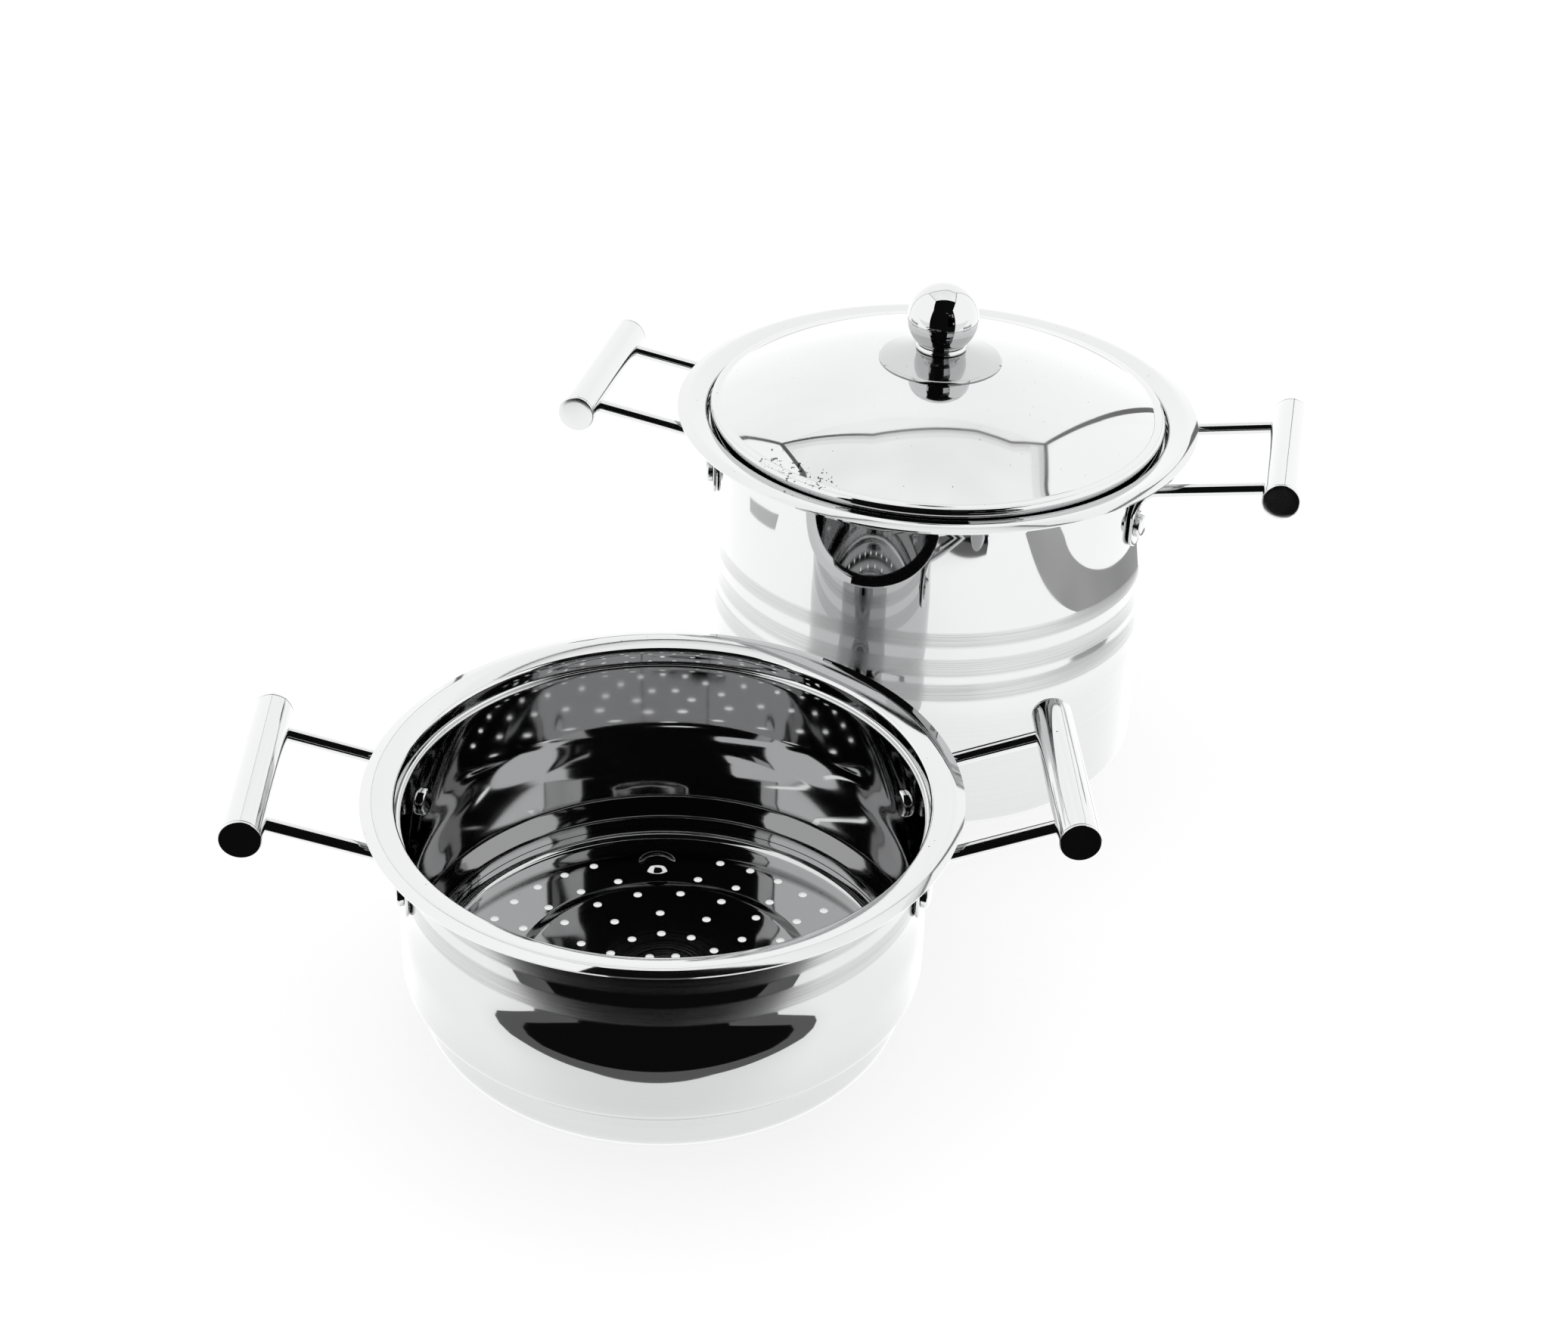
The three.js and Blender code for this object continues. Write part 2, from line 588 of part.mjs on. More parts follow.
/** One rod of a handle, on the side given by its sign. */
function handleRod(seat, way) {
  const rings = rodStations(seat).map(({ x, z, lean, half, depth, twist }) => {
    const along = way * twist;
    const width = new THREE.Vector3(-Math.sin(along), Math.cos(along), 0);
    const flatWay = new THREE.Vector3(Math.cos(along), Math.sin(along), 0);
    const rise = new THREE.Vector3(0, 0, 1);
    const thick = flatWay.multiplyScalar(Math.sin(lean)).addScaledVector(rise, -Math.cos(lean));
    const ring = [];
    for (let j = 0; j < ROD_SIDES; j += 1) {
      const angle = ((j + 0.5) / ROD_SIDES) * 2 * Math.PI;
      const point = new THREE.Vector3(x, way * ROD_SPREAD, z);
      point.addScaledVector(width, half * Math.cos(angle) / Math.cos(Math.PI / ROD_SIDES));
      ring.push(point.addScaledVector(thick, depth * Math.sin(angle)));
    }
    return ring;
  });
  const rod = lofted(rings);
  const hole = drill(RIVET_RADIUS + CLEARANCE, seat.wallRadius, GRIP_REACH, RIVET_FACETS);
  return rod.subtract(solid(hole.translate(0, 0, seat.rivetHeight).rotateZ(way * seat.angle)));
}

/** A rivet through spade and wall, headed on both sides. */
function handleRivet(seat, way) {
  const outer = seat.spadeRadius + SPADE_THICKNESS / 2 + CLEARANCE;
  const inner = seat.wallRadius - SHEET - CLEARANCE - wallHollow(seat);
  const profile = rounded([
    [0, inner - RIVET_INNER_HEIGHT, 0],
    [RIVET_INNER_RADIUS, inner - RIVET_INNER_HEIGHT, RIVET_INNER_ROUND],
    [RIVET_INNER_RADIUS, inner, 0],
    [RIVET_RADIUS, inner, 0],
    [RIVET_RADIUS, outer, 0],
    [RIVET_HEAD_RADIUS, outer, 0],
    [RIVET_HEAD_RADIUS, outer + RIVET_HEAD_HEIGHT, RIVET_HEAD_ROUND],
    [0, outer + RIVET_HEAD_HEIGHT, 0],
  ]);
  const lathe = new THREE.LatheGeometry(profile, RIVET_FACETS).rotateZ(-Math.PI / 2);
  return solid(lathe.translate(0, 0, seat.rivetHeight).rotateZ(way * seat.angle));
}

/** How far the curved wall comes in behind a rivet's inner head, and its facets with it. */
function wallHollow(seat) {
  const inside = seat.wallRadius - SHEET;
  const facet = inside * (1 - Math.cos(Math.PI / VESSEL_FACETS));
  return inside - Math.sqrt(inside ** 2 - RIVET_INNER_RADIUS ** 2) + facet;
}

/** The hollow grip, bored for its two rods. */
function handleGrip(seat) {
  const inside = GRIP_RADIUS - GRIP_WALL;
  const half = GRIP_LENGTH / 2;
  const tube = turned(
    rounded([
      [inside, -half],
      [GRIP_RADIUS, -half],
      [GRIP_RADIUS, half],
      [inside, half],
    ]),
    BAR_FACETS,
  );
  const placed = tube.rotate([90, 0, 0]).translate([GRIP_REACH, 0, seat.gripHeight]);
  const bore = ROD_RADIUS / Math.cos(Math.PI / ROD_SIDES) + CLEARANCE;
  return [-1, 1].reduce((rest, way) => {
    const hole = drill(bore, -GRIP_RADIUS * 2, 0, RIVET_FACETS).rotateY(-seat.rodSlope);
    return rest.subtract(solid(hole.translate(GRIP_REACH, way * ROD_SPREAD, seat.gripHeight)));
  }, placed);
}

/** A flat cap with a plug, closing one end of the grip. */
function gripCap(seat, way) {
  const plug = GRIP_RADIUS - GRIP_WALL - CLEARANCE;
  const face = GRIP_LENGTH / 2 + CLEARANCE;
  const profile = rounded([
    [0, face - CAP_SPIGOT, 0],
    [plug, face - CAP_SPIGOT, 0],
    [plug, face, 0],
    [GRIP_RADIUS, face, 0],
    [GRIP_RADIUS, face + CAP_THICKNESS, CAP_ROUND],
    [0, face + CAP_THICKNESS, 0],
  ]);
  const cap = turned(profile, BAR_FACETS);
  return cap.rotate([-90 * way, 0, 0]).translate([GRIP_REACH, 0, seat.gripHeight]);
}

/** One handle with its grip, caps, rods and rivets, turned to its side of the vessel. */
function handle(name, seat, turn) {
  const group = new THREE.Group();
  group.rotation.z = turn;
  group.add(piece(`${name}_grip`, handleGrip(seat), polishedSteel()));
  for (const way of [-1, 1]) {
    const end = way * Math.cos(turn) > 0 ? 'back' : 'front';
    group.add(piece(`${name}_cap_${end}`, gripCap(seat, way), polishedSteel()));
    group.add(piece(`${name}_rod_${end}`, handleRod(seat, way), polishedSteel()));
    group.add(piece(`${name}_rivet_${end}`, handleRivet(seat, way), polishedSteel()));
  }
  return group;
}

// Assembly

const lid = new THREE.Group();
lid.add(piece('lid_shell', lidShell(), polishedSteel()));
lid.add(piece('knob_disc', knobDisc(), polishedSteel()));
lid.add(piece('knob_collar', knobCollar(), polishedSteel()));
lid.add(piece('knob_ball', knobBall(), polishedSteel()));
lid.add(piece('knob_screw', knobScrew(), satinSteel()));
lid.add(piece('knob_washer', knobWasher(), satinSteel()));

const pot = new THREE.Group();
pot.add(piece('pot_body', potBody(), satinSteel()));
pot.add(handle('pot_right', potSeat, 0));
pot.add(handle('pot_left', potSeat, Math.PI));

const steamer = new THREE.Group();
const apart = 2 * RIM_RADIUS + STEAMER_GAP;
steamer.position.set(apart * Math.cos(STEAMER_BEARING), apart * Math.sin(STEAMER_BEARING), 0);
steamer.rotation.z = STEAMER_TURN;
steamer.add(piece('steamer_body', steamerBody(), polishedSteel()));
steamer.add(piece('steamer_floor', steamerFloor(), polishedSteel()));
steamer.add(handle('steamer_right', steamerSeat, 0));
steamer.add(handle('steamer_left', steamerSeat, Math.PI));

const couscousPot = new THREE.Group();
couscousPot.add(pot, lid, steamer);

export default couscousPot;
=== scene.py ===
"""Stainless steel couscous pot in a small studio.

A lidded pot and the perforated steamer that belongs on it, both with riveted bar handles.
Sizes in the classes are millimetres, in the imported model's frame; Blender gets metres.
"""
import logging
import math
from dataclasses import dataclass, field
from enum import Enum
from typing import Sequence

import bmesh
import bpy
from mathutils import Matrix, Vector


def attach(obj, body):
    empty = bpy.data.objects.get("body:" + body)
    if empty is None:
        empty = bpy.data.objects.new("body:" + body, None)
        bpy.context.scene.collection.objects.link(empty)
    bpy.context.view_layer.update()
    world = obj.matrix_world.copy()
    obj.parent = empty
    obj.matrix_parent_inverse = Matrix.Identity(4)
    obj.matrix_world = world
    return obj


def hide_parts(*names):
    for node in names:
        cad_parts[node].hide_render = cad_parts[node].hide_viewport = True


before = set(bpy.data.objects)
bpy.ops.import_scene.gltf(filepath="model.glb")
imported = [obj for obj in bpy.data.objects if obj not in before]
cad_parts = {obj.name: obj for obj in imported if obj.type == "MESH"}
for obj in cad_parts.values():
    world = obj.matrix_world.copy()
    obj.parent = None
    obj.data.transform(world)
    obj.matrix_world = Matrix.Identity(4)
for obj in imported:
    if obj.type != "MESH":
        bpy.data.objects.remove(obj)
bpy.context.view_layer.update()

MM = 0.001
WELD = 0.004
CREASE = math.radians(32.0)
BEND_STEP = math.radians(7.0)
UV_LENGTH = 100.0
UP = Vector((0.0, 0.0, 1.0))
WHITE = (1.0, 1.0, 1.0, 1.0)
# Material indices: a sheet's face and back, and a vessel's rim.
INSIDE, OUTSIDE, RIM = 0, 1, 2
# The part of a noise's range in which most of its values lie.
MIDDLE = (0.3, 0.7)
# Brightness of the stage's cloths and cards, and how much their folds change it.
TONES = {
    "opening": (0.006, 0.0), "border": (0.18, 0.15), "room": (1.0, 0.35), "window": (0.45, 0.3),
    "fold": (0.6, 0.35), "soft_fold": (0.95, 0.3), "cloth": (1.53, 0.05), "roof_cloth": (1.5, 0.1),
    "seam": (0.26, 0.4), "seam_shade_0": (1.1, 0.1), "seam_shade_1": (1.34, 0.1),
}

Material = bpy.types.Material
Socket = bpy.types.NodeSocket
Spot = tuple[float, float]
Point = tuple[float, float, float]
Line = tuple[Spot, ...]
Points = tuple[Point, ...]
Colour = tuple[float, float, float]

log = logging.getLogger("couscous_pot")


class Body(Enum):
    """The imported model's moving bodies."""

    POT = "pot"
    LID = "lid"
    STEAMER = "steamer"


class Slot(Enum):
    """The record's material slots that the pieces stand for."""

    MIRROR = "mirror_steel"
    SATIN = "satin_steel"


class Side(Enum):
    """The two handles of a vessel, with the angle each is turned to."""

    RIGHT = 0.0
    LEFT = math.pi


@dataclass(frozen=True)
class Corner:
    """A corner of a profile: radius, height and the bend that rounds it."""

    r: float
    z: float
    bend: float = 0.0


@dataclass(frozen=True)
class Place:
    """Where a sub-assembly stands: its axis on the table, and its turn in degrees."""

    x: float = 0.0
    y: float = 0.0
    turn: float = 0.0

    def matrix(self) -> Matrix:
        """The place as a matrix in millimetres."""
        return Matrix.Translation((self.x, self.y, 0.0)) @ Matrix.Rotation(math.radians(self.turn), 4, "Z")


class Bench:
    """A bmesh in millimetres, with the moves that sheet metal and turned parts need."""

    def __init__(self) -> None:
        """Starts with an empty bench."""
        self.bm = bmesh.new()

    def wire(self, corners: Sequence[Corner], reach: float = 4.0, closed: bool = False) -> None:
        """Lays a profile in the XZ plane, rounds its corners and divides its long runs.

        Args:
            corners: The profile's corners, in order.
            reach: The longest run left between two points.
            closed: Whether the last corner joins the first.
        """
        bm = self.bm
        verts = [bm.verts.new((c.r, 0.0, c.z)) for c in corners]
        ring = verts + verts[:1] if closed else verts
        for pair in zip(ring, ring[1:]):
            bm.edges.new(pair)
        count = len(corners)
        for i, corner in enumerate(corners):
            if corner.bend == 0.0 or (not closed and i in (0, count - 1)):
                continue
            before, after = corners[i - 1], corners[(i + 1) % count]
            into = Vector((corner.r - before.r, corner.z - before.z)).normalized()
            out = Vector((after.r - corner.r, after.z - corner.z)).normalized()
            turn = math.acos(max(-1.0, min(1.0, into.dot(out))))
            bmesh.ops.bevel(
                bm, geom=[verts[i]], offset=corner.bend * math.tan(turn / 2), offset_type="OFFSET",
                segments=max(3, math.ceil(turn / BEND_STEP)), profile=0.5, affect="VERTICES", material=-1)
        for edge in bm.edges[:]:
            cuts = math.ceil(edge.calc_length() / reach) - 1
            if cuts > 0:
                bmesh.ops.subdivide_edges(bm, edges=[edge], cuts=cuts)

    def arc(self, radius: float, start: float, end: float, centre: float, steps: int) -> None:
        """Lays an arc round a centre on the axis, by spinning one point in the XZ plane.

        Args:
            radius: The arc's radius.
            start: Angle from straight up to its first point, in radians.
            end: Angle from straight up to its last point.
            centre: Height of its centre.
            steps: Runs that it is made of.
        """
        first = self.bm.verts.new((radius * math.sin(start), 0.0, centre + radius * math.cos(start)))
        bmesh.ops.spin(
            self.bm, geom=[first], cent=(0.0, 0.0, centre), axis=(0.0, 1.0, 0.0), dvec=(0.0, 0.0, 0.0),
            angle=end - start, steps=steps, use_merge=False, use_duplicate=False)

    def revolve(self, steps: int) -> None:
        """Turns the profile on the bench round the Z axis and welds it.

        Args:
            steps: Facets in the full turn.
        """
        bm = self.bm
        bmesh.ops.remove_doubles(bm, verts=bm.verts, dist=WELD)
        bmesh.ops.spin(
            bm, geom=bm.verts[:] + bm.edges[:], cent=(0.0, 0.0, 0.0), axis=UP, dvec=(0.0, 0.0, 0.0),
            angle=math.tau, steps=steps, use_merge=True, use_duplicate=False)
        self.weld()

    def weld(self) -> None:
        """Merges doubles and turns the faces one way."""
        bmesh.ops.remove_doubles(self.bm, verts=self.bm.verts, dist=WELD)
        bmesh.ops.recalc_face_normals(self.bm, faces=self.bm.faces)

    def thicken(self, thickness: float, back: int, r: float, z: float, way: Vector = UP) -> None:
        """Turns a sheet to look the given way at a spot, and thickens it away from there.

        Args:
            thickness: The sheet's thickness.
            back: Material index of the new side.
            r: The spot's radius.
            z: The spot's height.
            way: The way in which the sheet looks at the spot.
        """
        spot = Vector((r, 0.0, z))
        nearest = min(self.bm.faces, key=lambda f: (f.calc_center_median() - spot).length)
        if nearest.normal.dot(way) < 0.0:
            bmesh.ops.reverse_faces(self.bm, faces=self.bm.faces)
        made = bmesh.ops.solidify(self.bm, geom=self.bm.faces[:], thickness=thickness)
        for item in made["geom"]:
            if isinstance(item, bmesh.types.BMFace):
                item.material_index = back

    def circle(self, segments: int, radius: float = 1.0, at: Point = (0.0, 0.0, 0.0)) -> tuple[list, list]:
        """Lays a circle of wire.

        Args:
            segments: Its number of edges.
            radius: Its radius.
            at: Its centre.

        Returns:
            The circle's vertices and edges.
        """
        verts = bmesh.ops.create_circle(self.bm, cap_ends=False, radius=radius, segments=segments)["verts"]
        bmesh.ops.translate(self.bm, verts=verts, vec=at)
        return verts, list({edge for vert in verts for edge in vert.link_edges})

    def fill(self, edges: list[bmesh.types.BMEdge]) -> None:
        """Fills a flat field between an outline and the circles inside it."""
        bmesh.ops.triangle_fill(self.bm, use_beauty=True, use_dissolve=False, edges=edges, normal=UP)

    def loft(self, rings: Sequence[Sequence[Vector]]) -> None:
        """Skins rings of points and closes both ends.

        Args:
            rings: Rings of equally many points.
        """
        loops = []
        for points in rings:
            verts, edges = self.circle(len(points))
            for vert, point in zip(verts, points):
                vert.co = point
            loops.append(edges)
        for low, high in zip(loops, loops[1:]):
            bmesh.ops.bridge_loops(self.bm, edges=low + high)
        for loop in (loops[0], loops[-1]):
            bmesh.ops.edgeloop_fill(self.bm, edges=loop)
        self.weld()

    def take(self, other: "Bench") -> None:
        """Takes over what is on another bench.

        Args:
            other: The bench, which is empty and used up afterwards.
        """
        spare = bpy.data.meshes.new("spare")
        other.bm.to_mesh(spare)
        other.bm.free()
        self.bm.from_mesh(spare)
        bpy.data.meshes.remove(spare)

    def move(self, matrix: Matrix) -> None:
        """Moves everything on the bench."""
        bmesh.ops.transform(self.bm, matrix=matrix, verts=self.bm.verts)

    def wrap(self) -> None:
        """Gives the surface a UV map that runs up the profile in U and round the axis in V."""
        layer = self.bm.loops.layers.uv.new("wrap")
        for face in self.bm.faces:
            middle = face.calc_center_median()
            centre = math.atan2(middle.y, middle.x)
            for loop in face.loops:
                co = loop.vert.co
                radius = math.hypot(co.x, co.y)
                angle = math.atan2(co.y, co.x) if radius > WELD else centre
                angle += math.tau * round((centre - angle) / math.tau)
                loop[layer].uv = ((radius + co.z) / UV_LENGTH, angle / math.tau)

    def piece(self, name: str, body: Body, slot: Slot, node: str, materials: Sequence[Material]) -> None:
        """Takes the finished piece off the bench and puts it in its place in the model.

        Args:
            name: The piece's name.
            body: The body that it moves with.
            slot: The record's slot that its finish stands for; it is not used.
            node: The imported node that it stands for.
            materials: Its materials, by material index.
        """
        bmesh.ops.scale(self.bm, vec=(MM, MM, MM), verts=self.bm.verts)
        mesh = bpy.data.meshes.new(name)
        self.bm.to_mesh(mesh)
        self.bm.free()
        mesh.polygons.foreach_set("use_smooth", [True] * len(mesh.polygons))
        mesh.set_sharp_from_angle(angle=CREASE)
        for material in materials:
            mesh.materials.append(material)
        obj = bpy.data.objects.new(name, mesh)
        bpy.context.scene.collection.objects.link(obj)
        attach(obj, body.value)
        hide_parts(node)
        log.info("%s rides on %s: %d faces", name, body.value, len(mesh.polygons))


@dataclass(frozen=True)
class Grain:
    """A noise: its scale, its detail and the factors that stretch it."""

    scale: float
    detail: float = 3.0
    stretch: Point = (1.0, 1.0, 1.0)


class Graph:
    """A node tree with short calls."""

    def __init__(self, tree: bpy.types.NodeTree) -> None:
        """Clears a material's or the world's node tree."""
        self.tree = tree
        tree.nodes.clear()

    @classmethod
    def of_material(cls, name: str) -> tuple["Graph", Material]:
        """A new material and its graph.

        Args:
            name: The material's name.

        Returns:
            The graph and the material.
        """
        material = bpy.data.materials.new(name)
        material.use_nodes = True
        return cls(material.node_tree), material

    def add(self, kind: str, values: dict | None = None, **settings) -> bpy.types.Node:
        """Adds a node, sets its properties and fills its inputs.

        Args:
            kind: The node's type name.
            values: Input name or index to a value or to an output socket.
            **settings: Properties of the node.

        Returns:
            The node.
        """
        node = self.tree.nodes.new(kind)
        for key, value in settings.items():
            setattr(node, key, value)
        for key, value in (values or {}).items():
            if isinstance(value, Socket):
                self.tree.links.new(value, node.inputs[key])
            else:
                node.inputs[key].default_value = value
        return node

    def here(self) -> Socket:
        """The place on the object, in metres."""
        return self.add("ShaderNodeTexCoord").outputs["Object"]

    def height(self, at: Socket) -> Socket:
        """The height of a place."""
        return self.add("ShaderNodeSeparateXYZ", {"Vector": at}).outputs["Z"]

    def mirrored(self, path: bpy.types.bpy_prop_collection) -> Socket:
        """1 for a ray that polished steel sent on, from the light path's outputs."""
        return self.calc("MAXIMUM", path["Is Glossy Ray"], path["Is Transmission Ray"])

    def ramp(self, value: Socket, low: float, high: float, a: float, b: float) -> Socket:
        """Maps a value from low..high to a..b, clamped and eased.

        Args:
            value: The value's socket.
            low: Start of its range.
            high: End of its range.
            a: Result at the start.
            b: Result at the end.

        Returns:
            The mapped value.
        """
        sockets = {"Value": value, "From Min": low, "From Max": high, "To Min": a, "To Max": b}
        return self.add("ShaderNodeMapRange", sockets, interpolation_type="SMOOTHSTEP").outputs["Result"]

    def calc(self, operation: str, a: Socket | float, b: Socket | float) -> Socket:
        """The result of one step of arithmetic, by the Math node's name for it."""
        return self.add("ShaderNodeMath", {0: a, 1: b}, operation=operation).outputs[0]

    def vector(self, operation: str, output: str, a: Socket, b: Point | None = None) -> Socket:
        """One step of arithmetic on vectors.

        Args:
            operation: The Vector Math node's operation.
            output: The output that is used.
            a: First vector.
            b: Second vector, if the operation has one.

        Returns:
            The result.
        """
        values = {0: a} if b is None else {0: a, 1: b}
        return self.add("ShaderNodeVectorMath", values, operation=operation).outputs[output]

    def noise(self, at: Socket, grain: Grain) -> Socket:
        """The value of a noise at a place."""
        scaled = self.add("ShaderNodeMapping", {"Vector": at, "Scale": grain.stretch}).outputs["Vector"]
        values = {"Vector": scaled, "Scale": grain.scale, "Detail": grain.detail}
        return self.add("ShaderNodeTexNoise", values).outputs["Fac"]

    def mix(self, factor: Socket, a: Colour | Socket, b: Colour) -> Socket:
        """A mix of two colours.

        Args:
            factor: Share of the second.
            a: First colour.
            b: Second colour.

        Returns:
            The mixed colour.
        """
        node = self.add("ShaderNodeMix", data_type="RGBA")
        self.tree.links.new(factor, node.inputs["Factor"])
        for name, colour in (("A", a), ("B", b)):
            socket = [s for s in node.inputs if s.name == name and s.type == "RGBA"][0]
            if isinstance(colour, Socket):
                self.tree.links.new(colour, socket)
            else:
                socket.default_value = (*colour, 1.0)
        return [s for s in node.outputs if s.type == "RGBA"][0]

    def tone(self, factor: Socket, colour: Colour | Socket, full: Colour, share: float) -> Socket:
        """A colour that turns into a share of the full colour where the factor is high."""
        return self.mix(factor, colour, tuple(share * c for c in full))

    def steel(self, colour: Socket, rough: Socket, relief: Socket, more: dict | None = None,
              strength: float = 1.0, distance: float = MM) -> None:
        """Ends the graph in bare steel.

        Args:
            colour: Its colour.
            rough: Its roughness.
            relief: Its relief.
            more: Further inputs of the shader.
            strength: How strongly the relief shows.
            distance: Height of a relief of 1, in metres.
        """
        bump = self.add("ShaderNodeBump", {"Height": relief, "Strength": strength, "Distance": distance})
        shader = self.add("ShaderNodeBsdfPrincipled", {
            "Base Color": colour, "Metallic": 1.0, "Roughness": rough,
            "Normal": bump.outputs["Normal"], **(more or {})})
        self.add("ShaderNodeOutputMaterial", {"Surface": shader.outputs["BSDF"]})


@dataclass(frozen=True)
class MirrorSteel:
    """Polished steel with wipe marks, hairline scratches and specks of tarnish.

    stains are places where tarnish gathers, within stain_reach of each.
    """

    name: str
    colour: Colour = (0.57, 0.572, 0.575)
    tarnish: Colour = (0.09, 0.085, 0.08)
    smooth: float = 0.02
    dull: float = 0.06
    wipe: Grain = Grain(16.0, 4.0)
    specks: Grain = Grain(620.0, 1.0)
    speck_limits: Spot = (0.8, 0.82)
    stains: Points = ()
    stain_reach: float = 17.0
    stain_gain: float = 0.2
    stain_grain: Grain = Grain(520.0, 2.0)
    stain_limits: Spot = (0.77, 0.8)
    swell: Grain = Grain(22.0, 1.0)
    wave: float = 0.05
    hair: Grain = Grain(240.0, 2.0, (1.0, 9.0, 3.0))
    hairline: float = 0.0006

    def material(self) -> Material:
        """The finish as a material."""
        graph, material = Graph.of_material(self.name)
        at = graph.here()
        rough = graph.ramp(graph.noise(at, self.wipe), *MIDDLE, self.smooth, self.dull)
        dirt = graph.ramp(graph.noise(at, self.specks), *self.speck_limits, 0.0, 1.0)
        for stain in self.stains:
            away = graph.vector("DISTANCE", "Value", at, tuple(v * MM for v in stain))
            near = graph.ramp(away, 0.0, self.stain_reach * MM, self.stain_gain, 0.0)
            grain = graph.calc("ADD", graph.noise(at, self.stain_grain), near)
            dirt = graph.calc("MAXIMUM", dirt, graph.ramp(grain, *self.stain_limits, 0.0, 1.0))
        swell = graph.calc("MULTIPLY", graph.noise(at, self.swell), self.wave)
        hair = graph.calc("MULTIPLY", graph.noise(at, self.hair), self.hairline)
        graph.steel(graph.mix(dirt, self.colour, self.tarnish), rough, graph.calc("ADD", swell, hair))
        return material


@dataclass(frozen=True)
class TurnedSteel:
    """Polished steel with fine rings from the lathe, strongest round the axis.

    ring is a band between two heights whose colour is darkened: painted shade, standing in for a darker reflection
    there.
    """

    name: str
    axis: Spot = (0.0, 0.0)
    colour: Colour = (0.47, 0.472, 0.475)
    smooth: float = 0.035
    wiped: float = 1.8
    dull: float = 0.16
    hub: float = 4.0
    fade: float = 62.0
    far_share: float = 0.06
    depth: float = 0.01
    cut_scale: float = 1.3
    cut_limits: Spot = (0.45, 0.7)
    wipe: Grain = Grain(18.0)
    cloud: Grain = Grain(300.0, 2.0)
    cloud_limits: Spot = (0.66, 0.8)
    cloud_share: float = 0.5
    cloud_tone: float = 0.8
    # ring and the two fields after it paint shade: a darker colour between two heights, with soft edges.
    ring: Spot | None = None
    shade_band_edge: float = 2.0
    shade_band_tone: float = 0.42

    def material(self) -> Material:
        """The finish as a material."""
        graph, material = Graph.of_material(self.name)
        at = graph.here()
        to_axis = (-self.axis[0] * MM, -self.axis[1] * MM, 0.0)
        centred = graph.add("ShaderNodeMapping", {"Vector": at, "Location": to_axis}).outputs["Vector"]
        radius = graph.vector("LENGTH", "Value", graph.vector("MULTIPLY", "Vector", centred, (1.0, 1.0, 0.0)))
        cuts = graph.add("ShaderNodeTexNoise", {
            "W": graph.calc("MULTIPLY", radius, 1.0 / MM), "Scale": self.cut_scale, "Detail": 3.0},
            noise_dimensions="1D").outputs["Fac"]
        share = graph.ramp(radius, self.hub * MM, self.fade * MM, 1.0, self.far_share)
        wiped = graph.ramp(graph.noise(at, self.wipe), *MIDDLE, self.smooth, self.smooth * self.wiped)
        turned = graph.calc("MULTIPLY", share, graph.ramp(cuts, *self.cut_limits, 0.0, self.dull))
        cloud = graph.ramp(graph.noise(at, self.cloud), *self.cloud_limits, 0.0, self.cloud_share)
        colour = graph.tone(cloud, self.colour, self.colour, self.cloud_tone)
        # Painted shade: between the band's two heights the colour is darkened, with soft edges.
        if self.ring:
            z = graph.height(at)
            (low, high), edge = (level * MM for level in self.ring), self.shade_band_edge * MM
            above = graph.ramp(z, low - edge, low + edge, 0.0, 1.0)
            below = graph.ramp(z, high - edge, high + edge, 1.0, 0.0)
            colour = graph.tone(graph.calc("MULTIPLY", above, below), colour, self.colour, self.shade_band_tone)
        relief = graph.calc("MULTIPLY", graph.calc("MULTIPLY", cuts, share), self.depth)
        graph.steel(colour, graph.calc("ADD", wiped, turned), relief)
        return material


